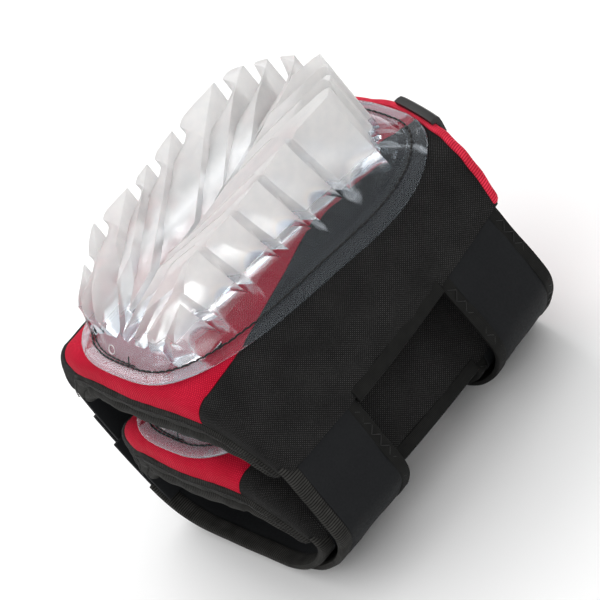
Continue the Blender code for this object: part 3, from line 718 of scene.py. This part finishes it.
CAP_TOP = [
    ((73.0, 116.5), 1.2), ((73.3, 116.8), 1.9), ((73.0, 116.5), 2.7), ((72.0, 115.6), 3.15),
    ((70.6, 114.2), 3.1), ((68.6, 112.4), 2.6), ((66.0, 110.2), 2.5), ((63.2, 108.2), 2.7),
    ((61.2, 106.8), 3.4), ((59.4, 105.6), 4.8), ((57.8, 104.4), 6.6), ((56.0, 103.2), 8.3),
    ((53.8, 101.6), 9.7), ((51.0, 99.4), 10.8), ((47.5, 96.4), 11.5), ((42.0, 91.0), 12.0),
    ((34.0, 80.0), 12.4), ((24.0, 64.0), 12.6), ((12.0, 40.0), 12.7), ((4.0, 14.0), 12.7),
]
CAP_UNDER = [
    ((73.0, 116.5), 0.9), ((66.0, 110.2), 0.8), ((60.0, 106.0), 0.8), ((54.0, 102.0), 0.9),
    ((48.0, 96.8), 1.4), ((42.0, 91.0), 3.0), ((34.0, 80.0), 3.2), ((20.0, 60.0), 3.4), ((4.0, 14.0), 3.4),
]
CAP_SEGMENTS = 168


def cap_profile(size_x):
    """Depth of the cap's top over the fabric, for a ring's half-width."""
    half = [size[0] for size, _ in CAP_TOP[4:]][::-1]
    depth = [d for _, d in CAP_TOP[4:]][::-1]
    return np.interp(size_x, half, depth)


def dome_mesh(pad):
    """The flange, skirt and dome, as rings of points."""
    points = []
    for rings in (CAP_TOP, CAP_UNDER):
        for k, (size, depth) in enumerate(rings):
            x, y = oval(*size, CAP_SEGMENTS)
            uneven = 0.0
            if rings is CAP_TOP and k < 8:
                arc = np.arange(CAP_SEGMENTS) * 2.0 * math.pi / CAP_SEGMENTS
                uneven = 0.14 * np.sin(arc * 41.0) + 0.10 * np.sin(arc * 23.0 + 1.0)
            points.append(pad.flat(x, y, depth + uneven * (1.0 if k > 2 else 0.5)))
        points.append(pad.flat(np.array([0.0]), np.array([FLANGE_CENTRE_Y]), rings[-1][1]))
    points = np.concatenate(points)
    n, top, under = CAP_SEGMENTS, len(CAP_TOP), len(CAP_UNDER)
    faces = grid_faces(top, n, wrap=True)
    middle = top * n
    faces += [((top - 1) * n + i, (top - 1) * n + (i + 1) % n, middle) for i in range(n)]
    start = middle + 1
    faces += grid_faces(under, n, start, flip=True, wrap=True)
    end = start + under * n
    faces += [(start + (under - 1) * n + (i + 1) % n, start + (under - 1) * n + i, end) for i in range(n)]
    faces += [((i + 1) % n, i, start + i, start + (i + 1) % n) for i in range(n)]
    return points, outward(points, faces)


LUG_TOP_Z = 47.3
LUG_RISE = 5.5                   # how much higher the tops stand over the thigh end's half
ARM_SLANT = 1.66                 # how far an arm runs along Y for each millimetre outward
NEAR_GROOVES = (-97.0, -72.5, -45.5, -17.0, 8.5, 35.5, 89.0, 112.0, 136.0, 160.0)
FAR_GROOVES = (-99.0, -71.0, -51.0, -22.0, -3.5, 21.0, 60.0, 87.5, 117.0, 153.0, 180.0)
GROOVE_TOP = 5.2                 # width of a groove between two tops at the outer wall
NEAR_LEAN = 9.0                  # how far an arm's foot lies further along Y than its top
FAR_LEAN = 5.0
BLOCK_Y = (-94.0, 98.0)
BLOCK_HALF = 48.0
SLOT_FOOT = 3.6                  # half the gap between two claws' feet
GROOVE_DEPTH = 7.0               # of the V between two arms, inside their outer walls
ARCH = 17.0                      # height of the clear arch between an outer wall's two claws
RIDGE_WIDTH = 0.9                # of an arm's top where it is narrowest, towards the valley
ROUND_FROM, ROUND_POWER = 22.0, 2.4   # the block's outline bends in past this Y
VALLEY_SLOPES = (0.36, 0.42)     # fall of the tops for each millimetre inward, before and after SLOPE_TURN
SLOPE_TURN = 21.0
FEET_DEPTH = 1.6                 # how far the lugs' feet are sunk into the dome
LUG_ROWS, LUG_COLUMNS = 13, 11
HEIGHTS = np.linspace(0.0, 1.0, LUG_ROWS)
CLAW = 8.5                       # how far a claw's foot stands out from the wall's top
SCOOP = 2.5                      # how far the wall's foot is drawn in between its claws


def lug_inset(x, y):
    """How far a point lies inside the block's outer edge, which is rounded over the thigh end."""
    across = (np.abs(x) / BLOCK_HALF) ** ROUND_POWER
    along = (np.maximum(y - ROUND_FROM, 0.0) / (BLOCK_Y[1] - ROUND_FROM)) ** ROUND_POWER
    return BLOCK_HALF * (1.0 - np.minimum((across + along) ** (1.0 / ROUND_POWER), 1.0))


def lug_height(x, y, side):
    """Height of the lugs' tops: highest at the outer wall, falling inward and at both ends."""
    inset = lug_inset(x, y)
    z = LUG_TOP_Z + LUG_RISE * smoothstep((y + 25.0) / 65.0)
    z = z - VALLEY_SLOPES[0] * np.minimum(inset, SLOPE_TURN)
    z = z - VALLEY_SLOPES[1] * np.maximum(inset - SLOPE_TURN, 0.0)
    if side < 0.0:
        z = z - 0.2 * np.maximum(y - 57.0, 0.0)
    return np.minimum(z, LUG_TOP_Z - 0.30 * inset - 0.80 * (-56.0 - y))


def block_limits(x):
    """The block of lugs has rounded ends: lowest and highest Y of its tops at this X."""
    t = np.clip(np.abs(x) / BLOCK_HALF, 0.0, 1.0)
    return BLOCK_Y[0] + 1.5 * t ** 2.0, BLOCK_Y[1] - 27.0 * t ** 2.4


def groove_end(groove):
    """Y at which a groove's slanted line leaves the block."""
    for x in np.arange(BLOCK_HALF, 0.0, -0.5):
        y = groove - ARM_SLANT * (BLOCK_HALF - x)
        if y <= block_limits(x)[1]:
            return y
    return BLOCK_Y[1]


def lug_stations(low_groove, high_groove, side):
    """(x, top edges, feet) of one arm's sections, from the valley out to its outer wall."""
    stations = []
    top_low, top_high = groove_end(low_groove) + GROOVE_TOP / 2.0, high_groove - GROOVE_TOP / 2.0
    for x in np.concatenate([np.linspace(1.0, 25.0, 7), np.linspace(28.0, BLOCK_HALF, 9)]):
        inward = BLOCK_HALF - x
        lowest, highest = block_limits(x)
        y1 = top_high - ARM_SLANT * inward
        y0 = min(top_low, y1 - RIDGE_WIDTH)
        slot = SLOT_FOOT * np.clip(1.0 - inward / 12.0, 0.0, 1.0)
        lean = (NEAR_LEAN if side > 0.0 else FAR_LEAN) * np.clip(1.0 - inward / 15.0, 0.3, 1.0)
        groove_line = low_groove - ARM_SLANT * inward
        foot_high = high_groove - ARM_SLANT * inward + lean - slot
        y0, y1 = max(y0, lowest), min(y1, highest)
        if y1 - y0 < 0.6:
            continue
        filled = smoothstep(lug_inset(x, y0) / 10.0)
        foot_low = groove_line + (lean + slot) * (1.0 - filled) - 3.2 * filled
        top, base = lug_height(x, y0, side), foot_level(x, foot_low)
        shallow = float(np.clip((y0 + 100.0) / 36.0, 0.35, 1.0))
        bottom = max(base + (top - GROOVE_DEPTH * shallow - base) * filled, base)
        foot_low = max(foot_low, lowest - 4.0)
        foot_high = min(foot_high, highest + 5.0)
        if inward > 6.0:
            foot_low, foot_high = min(foot_low, y0 - 0.4), max(foot_high, y1 + 0.4)
        depth = float(np.clip((top - bottom) / max(top - base, 1.0), 0.05, 1.0))
        stations.append((x, y0, y1, foot_low, foot_high, depth))
    return stations


def foot_level(x, y):
    size = FLANGE_HALF[0] * flange_size(x, y)
    return pad_height(x, y) + cap_profile(np.minimum(size, 70.0)) - FEET_DEPTH


def side_wall(x, y_top, y_foot, out, side, depth=1.0):
    """One edge of an arm's section, from its foot up to its top."""
    down = 1.0 - HEIGHTS
    y = y_top + (y_foot - y_top) * np.minimum(down / depth, 1.0) ** 1.15
    xs = x + out * down ** 1.3
    z_foot = foot_level(xs[0], y_foot)
    z = z_foot + (lug_height(x, y_top, side) - 0.5 - z_foot) * HEIGHTS
    return np.stack([xs, y, z], axis=-1)


def lug_section(station, side, out):
    """An arm's section at one station: up its low side, over its top and down its high side."""
    x, y0, y1, foot_low, foot_high, depth = station
    left = side_wall(x, y0, foot_low, out, side, depth)
    right = side_wall(x, y1, foot_high, out, side)[::-1]
    inset = min(0.5, (y1 - y0) * 0.2)
    ys = np.linspace(y0 + inset, y1 - inset, LUG_COLUMNS)
    corner = 2.2 * np.exp(-((ys - y0) / 2.6) ** 2) * np.clip((x - 30.0) / 18.0, 0.0, 1.0)
    level = lug_height(x, ys, side) - corner * min(1.0, (y1 - y0) / 12.0)
    top = np.stack([np.full(LUG_COLUMNS, x), ys, level], axis=-1)
    left[-1, 2] = min(left[-1, 2], top[0, 2] - 0.3)
    return np.concatenate([left, top, right])


def outer_wall(section, at_wall):
    """The patch that closes an arm's last section, drawn in at its foot between two claws."""
    patch = []
    for r, h in enumerate(HEIGHTS):
        left, right = section[r], section[-1 - r]
        for c in range(1, LUG_COLUMNS + 1):
            t = c / (LUG_COLUMNS + 1.0)
            bulge = 1.0 - abs(2.0 * t - 1.0) ** 2.1
            p = left + (right - left) * t
            if at_wall:
                scoop = min(SCOOP * bulge, 0.7 * (1.0 - t) * (right[1] - left[1]) / ARM_SLANT)
                p[0] += (1.0 - h ** 5) * bulge - scoop * (1.0 - h) ** 1.4
            if r == LUG_ROWS - 1:
                p[0] += 0.3
                p[2] = section[LUG_ROWS + c - 1][2] - 0.6
            patch.append(p)
    return np.array(patch)


def lug_mesh(pad, low_groove, high_groove, side):
    """One slanted arm from the valley out to its steep outer wall."""
    stations = lug_stations(low_groove, high_groove, side)
    if len(stations) < 3:
        return None
    at_wall = stations[-1][0] > BLOCK_HALF - 1.0
    outs = [0.0] * (len(stations) - 1) + [CLAW if at_wall else 0.0]
    sections = [lug_section(station, side, out) for station, out in zip(stations, outs)]
    count = len(sections[0])
    base = (len(sections) - 1) * count
    points = np.concatenate(sections + [outer_wall(sections[-1], at_wall)])
    faces = grid_faces(len(sections), count)
    faces += [(a, a + count, a + 2 * count - 1, a + count - 1) for a in range(0, base, count)]
    faces.append(tuple(range(count))[::-1])
    patch = base + count + np.arange(LUG_ROWS * LUG_COLUMNS).reshape(LUG_ROWS, LUG_COLUMNS)
    up = base + np.arange(LUG_ROWS)
    grid = np.column_stack([up, patch, 2 * base + count - 1 - up])
    for low, high in zip(grid[:-1], grid[1:]):
        faces += list(zip(low[:-1], low[1:], high[1:], high[:-1]))
    row, tops = grid[-1], base + LUG_ROWS + np.arange(LUG_COLUMNS)
    faces += [(row[0], row[1], tops[0]), (row[-2], row[-1], tops[-1]), tuple(grid[0, ::-1])]
    faces += list(zip(row[1:-2], row[2:-1], tops[1:], tops[:-1]))
    points[:, 0] *= side * pad.squeeze
    points[:, 2] += pad.slope * points[:, 1]
    return points + pad.shift, faces


def pad_height(x, y):
    """Height of the unsqueezed pad's fabric."""
    f = np.clip(np.abs(x) / parabola(HALF_WIDTHS, y), 0.0, 1.0)
    return crown(y) - Pad.drop(y) * f ** SECTION_POWER


def fixed_normals(obj):
    """Makes every face point outwards."""
    mesh = bmesh.new()
    mesh.from_mesh(obj.data)
    bmesh.ops.recalc_face_normals(mesh, faces=mesh.faces)
    mesh.to_mesh(obj.data)
    mesh.free()


def arch_clearance(x, y, z):
    """How far a point of an outer wall lies below its lug's arch, in millimetres."""
    clearance = np.full(len(x), -40.0)
    out = np.abs(x)
    above = z - foot_level(np.minimum(out, BLOCK_HALF + CLAW), y) - FEET_DEPTH
    leaning = np.clip(1.0 - above / 32.0, 0.0, 1.0) ** 1.15
    along = y + ARM_SLANT * np.clip(BLOCK_HALF - out, 0.0, 60.0)
    near_wall = lug_inset(np.minimum(out, BLOCK_HALF), y) < 12.0
    for side, grooves, lean in ((1.0, NEAR_GROOVES, NEAR_LEAN), (-1.0, FAR_GROOVES, FAR_LEAN)):
        marks = np.array(grooves)
        wall_y = along - lean * leaning
        k = np.clip(np.searchsorted(marks, wall_y) - 1, 0, len(marks) - 2)
        t = np.clip((wall_y - marks[k]) / (marks[k + 1] - marks[k]), 0.0, 1.0)
        rise = ARCH * (1.0 - np.abs(2.0 * t - 1.0) ** 2.2) - 2.0
        clearance = np.where((x * side > 20.0) & near_wall, rise - above, clearance)
    return clearance


def height_layer(pad, mesh):
    """Stores each corner's height over the fabric and its depth below an arch in the cloth layer."""
    places = np.zeros(len(mesh.vertices) * 3)
    mesh.vertices.foreach_get("co", places)
    x, y, z = (places.reshape(-1, 3) / MM - ROW_SHIFT - pad.shift).T
    x, z = x / pad.squeeze, z - pad.slope * y
    store_uv(mesh, np.stack([z - pad_height(x, y), arch_clearance(x, y, z)], axis=-1))


def build_cap(pad):
    cap = add_mesh(f"{pad.prefix}_clear_cap", *dome_mesh(pad))
    fixed_normals(cap)
    tools = bpy.data.collections.new(f"{pad.prefix}_lugs")
    bpy.context.scene.collection.children.link(tools)
    lugs = []
    for side, grooves in ((1.0, NEAR_GROOVES), (-1.0, FAR_GROOVES)):
        for low, high in zip(grooves[:-1], grooves[1:]):
            made = lug_mesh(pad, low, high, side)
            if made is None:
                continue
            lug = add_mesh(f"{pad.prefix}_lug", *made)
            bpy.context.scene.collection.objects.unlink(lug)
            tools.objects.link(lug)
            fixed_normals(lug)
            lugs.append(lug)
    union = cap.modifiers.new("lugs", "BOOLEAN")
    union.operation, union.solver, union.operand_type = "UNION", "EXACT", "COLLECTION"
    union.collection = tools
    graph = bpy.context.evaluated_depsgraph_get()
    mesh = bpy.data.meshes.new_from_object(cap.evaluated_get(graph))
    cap.modifiers.clear()
    cap.data = mesh
    for lug in lugs:
        bpy.data.objects.remove(lug)
    bpy.data.collections.remove(tools)
    mesh.validate()
    mesh.materials.clear()
    mesh.materials.append(CLEAR)
    height_layer(pad, mesh)
    mesh.shade_smooth()
    mesh.set_sharp_from_angle(angle=math.radians(40.0))
    place(cap, pad, "cap")


CAP_STITCHES = 118
STITCH_INSET = 7.0
STITCH_LIFTS = np.array([-0.5, 0.1, 0.42, 0.5, 0.42, 0.1, -0.5])


def build_cap_stitches(pad):
    """Lock stitches round the flange, doubled at the shin end, where a cut tail stands up."""
    thread = Bundle()
    per = len(STITCH_LIFTS) - 1
    fine = CAP_STITCHES * per
    ring = np.stack(oval(FLANGE_HALF[0] - STITCH_INSET, FLANGE_HALF[1] - STITCH_INSET, fine), axis=-1)
    ring = np.concatenate([ring, ring[:1]])
    length = run_length(ring)
    marks = np.linspace(0.0, length[-1], fine, endpoint=False)
    xs, ys = (np.interp(marks, length, values) for values in ring.T)
    for k in range(CAP_STITCHES):
        index = (k * per + np.arange(per + 1)) % fine
        jitter = RNG.normal(0.0, 0.12)
        path = pad.flat(xs[index] + jitter, ys[index] + jitter * 0.5, 2.75 + STITCH_LIFTS)
        thread.thread(path, 0.62)
    shin = np.argsort(ys)[0]
    for k in range(-70, 10, per):
        index = (shin + k + np.arange(per + 1)) % fine
        path = pad.flat(xs[index] * 0.985, ys[index] * 0.985 - 0.4 * math.sin(k), 2.9 + STITCH_LIFTS)
        thread.thread(path, 0.48)
    i = (shin + 8) % fine
    tail = [pad.flat(xs[i] + 0.25 * t, ys[i] + 0.5 * t, 3.0 + 1.1 * t - 0.02 * t * t) for t in range(7)]
    thread.thread(tail, 0.42)
    place(thread.build(f"{pad.prefix}_cap_stitches", THREAD), pad, "cap_stitching")


MARK_AT = (-13.8, -103.3)
MARK_HALF = (2.9, 1.5)


def build_skirt_mark(pad):
    """The small oval moulded in the skirt near the shin end."""
    angle = np.linspace(0.0, 2.0 * math.pi, 25)
    x = MARK_AT[0] + MARK_HALF[0] * np.cos(angle)
    y = MARK_AT[1] + MARK_HALF[1] * np.sin(angle)
    depth = np.interp(-y, (101.5, 102.7, 103.9, 105.1), (8.3, 6.6, 4.8, 3.4))
    mark = Bundle()
    mark.thread(pad.flat(x, y, depth), 0.42)
    place(mark.build(f"{pad.prefix}_skirt_mark", MARK), pad)


# ---- straps
def bezier(start, start_pull, end_pull, end, count):
    t = np.linspace(0.0, 1.0, count)[:, None]
    u = 1.0 - t
    return u ** 3 * start + 3 * u * u * t * start_pull + 3 * u * t * t * end_pull + t ** 3 * end


class StrapRoute:
    """The line that a strap follows, as (x, z) points for each y."""

    def __init__(self, y_range, slack):
        self.y_range = y_range
        y = np.array(y_range)
        self.hinge_x = float(parabola(HALF_WIDTHS, y).max())
        self.hinge_z = float(parabola(EDGE_LEVELS, y).max())
        self.radius = self.hinge_x + float(parabola(HALF_WIDTHS, y.mean())) + slack

    def arc(self, inset, low, high, count):
        z = np.linspace(low, high, count)
        x = self.hinge_x - np.sqrt((self.radius - inset) ** 2 - (z - self.hinge_z) ** 2)
        return np.stack([x, z], axis=-1)

    def loop(self, pad, y, level):
        """From inside the shell's near edge, down, under the leg and up the far side."""
        own = y - pad.shift[1]
        edge3 = pad.point(1.0, own, 0.0)
        edge = np.array([edge3[0], edge3[2] - SEAM_GAP])
        floor = FLOOR_Z + level["floor"]
        flat_near = np.array([24.0, floor])
        flat_far = np.array([-STRAP_FLAT_HALF, floor])
        far_low, above = self.arc(level["far"], level["turn"], level["turn"] + 5.0, 2)
        climb = (above - far_low) / np.linalg.norm(above - far_low)
        tuck = [pad.point(a, own, d)[[0, 2]] for a, d in ((0.955, -2.1), (0.975, -2.1), (0.992, -1.8))]
        parts = [np.array(tuck)]
        if pad.prefix == "upper":
            turn = edge + np.array([level["bulge"], -47.0])
            parts.append(bezier(edge, edge + (2.0, -15.0), turn + (-2.5, 18.0), turn, 14)[:-1])
            parts.append(bezier(turn, turn + (1.5, -17.0), np.array([0.6 * turn[0], floor]), flat_near, 26))
        else:
            turn = edge + np.array([-1.5, -6.0])
            parts.append(bezier(edge, edge + (0.0, -2.0), turn + (0.6, 2.0), turn, 5)[:-1])
            parts.append(bezier(turn, turn + (-4.0, -7.0), np.array([0.6 * turn[0], floor]), flat_near, 26))
        parts.append(flat_near + (flat_far - flat_near) * np.linspace(0.0, 1.0, 8)[1:-1, None])
        parts.append(bezier(flat_far, flat_far - np.array([26.0, 0.0]), far_low - climb * 14.0, far_low, 16))
        parts.append(self.arc(level["far"], level["turn"], level["split"], 8)[1:])
        return np.concatenate(parts)


def path_normals(path):
    """Unit normals to the left of travel, which point into the loop."""
    tangent = np.gradient(path, axis=0)
    tangent /= np.linalg.norm(tangent, axis=1)[:, None]
    return np.stack([tangent[:, 1], -tangent[:, 0]], axis=-1)


def smooth_path(path, rounds=2):
    for _ in range(rounds):
        path = path.copy()
        path[1:-1] = (path[:-2] + 2.0 * path[1:-1] + path[2:]) / 4.0
    return path


def line_at(path_of, y):
    """The smoothed path for one Y: the distance along it, its points and its normals."""
    path = smooth_path(path_of(y))
    return run_length(path), path, path_normals(path)


def ribbon(name, path_of, section, material, wave=0.0, seed=1, sharp=38.0):
    """Sweeps a closed section of (y, inset) along the path that path_of gives for each y."""
    rings, lines = [], {}
    for y, inset in section:
        key = round(y, 3)
        if key not in lines:
            lines[key] = line_at(path_of, y)
        run, path, normal = lines[key]
        uneven = wave * waves(run, np.full(len(run), y), seed, 30.0) if wave else 0.0
        ends = np.clip(np.minimum(run, run[-1] - run) / 12.0, 0.0, 1.0)
        shift = (inset + np.maximum(uneven, -0.2) * ends)[:, None] if wave else inset
        p = path + normal * shift
        rings.append(np.stack([p[:, 0], np.full(len(p), y), p[:, 1]], axis=-1))
    rings = np.array(rings).transpose(1, 0, 2)
    uv = np.zeros(rings.shape[:2] + (2,))
    uv[:, :, 0] = run[:, None]
    uv[:, :, 1] = np.array([y for y, _ in section])[None, :]
    return loop_solid(name, rings, uv, material, sharp)


def rounded_section(low, high, near, far, edge=0.8, columns=7):
    """A flat bar's section with rounded corners: y from low to high, inset from near to far."""
    ys = np.linspace(low + edge, high - edge, columns)
    loop = [(y, near) for y in ys]
    loop += [(high - edge * 0.3, near + edge * 0.3), (high, near + edge)]
    loop += [(high, far - edge), (high - edge * 0.3, far - edge * 0.3)]
    loop += [(y, far) for y in ys[::-1]]
    loop += [(low + edge * 0.3, far - edge * 0.3), (low, far - edge)]
    loop += [(low, near + edge), (low + edge * 0.3, near + edge * 0.3)]
    return loop


OUTER_LOOP = {
    "floor": 0.0, "far": 0.0, "turn": -146.0, "split": -121.9,
    "keeper_end": -145.0, "keeper_join": -78.0, "loop_top": -84.0,
}
NESTED_BOTTOM_LOOP = {
    "floor": 4.6, "far": 10.6, "turn": -144.0, "split": -137.4,
    "keeper_end": -147.0, "keeper_join": -131.0, "loop_top": -123.5,
}
NESTED_TOP_LOOP = {
    "floor": 4.6, "far": 10.6, "turn": -148.0, "split": -142.0,
    "keeper_end": -150.0, "keeper_join": -139.0, "loop_top": -135.0,
}


def attach(obj, pad, strap, kind, route, piece):
    """Hides a strap piece's CAD node when one is named. The lower pad's pieces and every keeper follow their
    pad's body; the upper pad's other pieces are baked in place and follow no body.
    """
    if piece is not None:
        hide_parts(f"{pad.prefix}_{strap}{piece}")
    if pad.prefix == "lower" or kind == "keeper":
        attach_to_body(obj, pad.body)
    elif kind == "strap":
        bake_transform(obj)
    else:
        split = OUTER_LOOP["split"] + LAYER_GAP
        (x0, z0), (x1, z1) = (route.arc(0.0, split + up, split + up + 1.0, 2)[0] for up in (0.0, 7.0))
        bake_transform(obj)


ZIGZAG_PITCH = 4.6


def zigzag(bundle, path_of, low, high, inset):
    """A zigzag of thread on a hem, from its first free place past the sewn edge."""
    run = line_at(path_of, (low + high) / 2.0)[0]
    marks = np.arange(run[3] + 2.0, run[-1] - 2.0, ZIGZAG_PITCH)
    sides = [(y, *line_at(path_of, y)) for y in (low, high)]

    def at(side, s):
        y, own, path, normal = sides[side]
        p, n = (np.array([np.interp(s / run[-1], own / own[-1], values[:, k]) for k in (0, 1)])
                for values in (path, normal))
        q = p + n * inset
        return np.array([q[0], y, q[1]]), np.array([n[0], 0.0, n[1]])

    for i, s in enumerate(marks[:-1]):
        a, n = at(i % 2, s)
        b, _ = at(1 - i % 2, marks[i + 1])
        path = [a + n * 0.4, a + (b - a) * 0.15 + n * 0.1, (a + b) / 2.0 + n * 0.05,
                a + (b - a) * 0.85 + n * 0.1, b + n * 0.4]
        bundle.thread(path, 0.3, 5)


TAPE_THICK = 1.0
HEM_WIDTH = 8.2
BODY_EDGE = 7.6                  # where a strap's own layer ends, under its hems
ROLL_HANG = 2.2                  # how far the bound edge of a bottom strap hangs past the strap
NESTED_SINK = 0.6                # keeps the nested pad's hems clear of the upper pad's


def build_hems(pad, strap, route, path_of, band, first, last):
    """The sewn hem along each edge of a strap. A bottom strap's lower one is a thick bound roll."""
    sunk = NESTED_SINK if pad.prefix == "lower" else 0.0
    for low, piece in ((first, "_lower_hem"), (last - HEM_WIDTH, "_upper_hem")):
        high = first + HEM_WIDTH if piece == "_lower_hem" else last
        if strap == "bottom_strap" and piece == "_lower_hem":
            section = rounded_section(low - ROLL_HANG, high + 0.6, 0.2, 5.2, 2.4, 6)
            band(f"{piece}_tape", path_of, section, BINDING, "strap", piece, "binding", 0.35, 42)
            continue
        section = rounded_section(low, high, sunk, 3.4, 0.9, 6)
        band(f"{piece}_tape", path_of, section, HEM_TAPE, "strap", piece, "binding", 0.35, 42)
        thread = Bundle()
        zigzag(thread, path_of, low + 1.9, high - 1.7, sunk)
        stitches = thread.build(f"{pad.prefix}_{strap}{piece}_zigzag", THREAD)
        attach(stitches, pad, strap, "strap", route, None)


def build_closure(pad, route, level, band, first, last):
    """The pull tab with its hook tape, and the keeper with the loop tape that they press on."""
    whole = rounded_section(first, last, 0.0, STRAP_THICK, 1.0, 9)
    tape = rounded_section(first + 6.0, last - 6.0, 0.0, TAPE_THICK, 0.3, 7)
    far = level["far"]
    hook_inset = far + STRAP_THICK + LAYER_GAP
    loop_inset = hook_inset + TAPE_THICK + LAYER_GAP
    keeper_inset = loop_inset + TAPE_THICK + LAYER_GAP
    tab_low = level["split"] + LAYER_GAP
    tab_high = tab_low + TAB_LENGTH
    end = level["keeper_end"]

    def keeper_path(y):
        own = y - pad.shift[1]
        edge = pad.point(-1.0, own, 0.0)
        seam = np.array([[edge[0], edge[2] - SEAM_GAP]])
        tuck = [pad.point(a, own, d)[[0, 2]] for a, d in ((-0.985, -2.1), (-0.965, -2.1))]
        arc = route.arc(keeper_inset, end, level["keeper_join"], 14)
        return np.concatenate([arc, seam, np.array(tuck)])

    band("_tab_neoprene", lambda y: route.arc(far, tab_low, tab_high, 16), whole, NEOPRENE, "tab",
         "_pull_tab", "neoprene", 0.0, 43)
    band("_hooks", lambda y: route.arc(hook_inset, tab_low + 1.0, tab_high - 3.0, 12), tape, HOOKS, "tab",
         "_hook_tape", "hook_tape")
    band("_loops", lambda y: route.arc(loop_inset, end, level["loop_top"], 14), tape, LOOPS, "keeper",
         "_loop_tape", "loop_tape")
    band("_keeper_neoprene", keeper_path, whole, NEOPRENE, "keeper", "_keeper", "neoprene")


def build_strap(pad, strap, route, level):
    """A strap with its hems, stitches, pull tab, tapes and keeper."""
    first, last = (y + float(pad.shift[1]) for y in route.y_range)

    def band(word, path_of, section, material, kind, piece, slot, wave=0.0, seed=1):
        obj = ribbon(f"{pad.prefix}_{strap}{word}", path_of, section, material, wave, seed)
        attach(obj, pad, strap, kind, route, piece)

    def loop_path(y):
        return route.loop(pad, y, level)

    body = rounded_section(first + BODY_EDGE, last - BODY_EDGE, 0.3, STRAP_THICK, 0.3, 9)
    band("_neoprene", loop_path, body, NEOPRENE, "strap", "", "neoprene", 0.5, 41)
    build_hems(pad, strap, route, loop_path, band, first, last)
    build_closure(pad, route, level, band, first, last)


# ---- build both pads
UPPER = Pad("upper", "upper_pad")
LOWER = Pad("lower", "lower_pad", shift=(5.0, -5.0, -63.4), slope=-0.055, narrowing=17.0, squeeze=0.88)
STRAPS = (                       # name, reach along Y, slack and bulge at the near side
    ("bottom_strap", BOTTOM_STRAP_Y, 8.1, 6.5),
    ("top_strap", TOP_STRAP_Y, 13.0, 11.0),
)

for pad in (UPPER, LOWER):
    build_fabric(pad)
    build_ends(pad)
    build_side_hems(pad)
    build_lining(pad)
    build_label(pad)
    build_cap(pad)
    build_cap_stitches(pad)
    build_skirt_mark(pad)
    levels = (OUTER_LOOP, OUTER_LOOP) if pad is UPPER else (NESTED_BOTTOM_LOOP, NESTED_TOP_LOOP)
    for (strap, y_range, slack, bulge), level in zip(STRAPS, levels):
        build_strap(pad, strap, StrapRoute(y_range, slack), dict(level, bulge=bulge))
    for node, material in (("foam_core", FOAM), ("gel_insert", GEL)):
        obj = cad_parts[f"{pad.prefix}_{node}"]
        obj.data.materials.clear()
        obj.data.materials.append(material)


# ---- floor, light and camera
def build_floor():
    mesh = bpy.data.meshes.new("floor")
    mesh.from_pydata([(-6, -6, 0), (6, -6, 0), (6, 6, 0), (-6, 6, 0)], [], [(0, 1, 2, 3)])
    s = Shader("pale_floor")
    mesh.materials.append(s.set(Base_Color=rgb(0.94, 0.94, 0.94), Roughness=0.9, Specular_IOR_Level=0.1))
    floor = bpy.data.objects.new("floor", mesh)
    floor.location = (0.0, 0.0, -0.0005)
    bpy.context.scene.collection.objects.link(floor)


def area_light(name, location, target, size, power):
    data = bpy.data.lights.new(name, "AREA")
    data.shape, data.size, data.energy = "DISK", size, power
    lamp = bpy.data.objects.new(name, data)
    lamp.location = location
    lamp.rotation_mode = "QUATERNION"
    lamp.rotation_quaternion = (Vector(location) - Vector(target)).to_track_quat("Z", "Y")
    bpy.context.scene.collection.objects.link(lamp)


def build_lights():
    world = bpy.data.worlds.new("studio")
    bpy.context.scene.world = world
    world.use_nodes = True
    tree = world.node_tree
    background = tree.nodes["Background"]
    sky = tree.nodes.new("ShaderNodeTexCoord")
    split = tree.nodes.new("ShaderNodeSeparateXYZ")
    ramp = tree.nodes.new("ShaderNodeMapRange")
    tree.links.new(sky.outputs["Generated"], split.inputs[0])
    tree.links.new(split.outputs[2], ramp.inputs[0])
    for i, value in enumerate((-0.05, 0.75, 0.5, 1.05)):
        ramp.inputs[1 + i].default_value = value
    tree.links.new(ramp.outputs[0], background.inputs[0])
    background.inputs[1].default_value = 1.0
    area_light("key", (-1.25, 0.35, 1.5), (0.0, 0.0, 0.1), 1.2, 14.0)
    area_light("fill", (1.3, -1.0, 1.1), (0.0, 0.0, 0.1), 1.0, 5.0)


CAMERA_DISTANCE = 2800.0
CAMERA_RIGHT, CAMERA_UP = 32.5, -40.5    # where its axis passes the crown, in its own picture


def build_camera():
    towards = np.array([0.77370, -0.29462, 0.56088])
    right = np.array([0.59575, 0.63954, -0.48587])
    up = np.array([-0.21556, 0.71007, 0.67033])
    eye = to_row(towards * CAMERA_DISTANCE + right * CAMERA_RIGHT + up * CAMERA_UP)
    data = bpy.data.cameras.new("camera")
    data.lens, data.sensor_width = 291.0, 36.0
    data.clip_start, data.clip_end = 0.05, 60.0
    camera = bpy.data.objects.new("camera", data)
    axes = Matrix((right, up, towards)).transposed().to_4x4()
    axes.translation = Vector(eye)
    camera.matrix_world = axes
    bpy.context.scene.collection.objects.link(camera)
    bpy.context.scene.camera = camera


build_floor()
build_lights()
build_camera()
bpy.context.scene.view_settings.view_transform = "Standard"
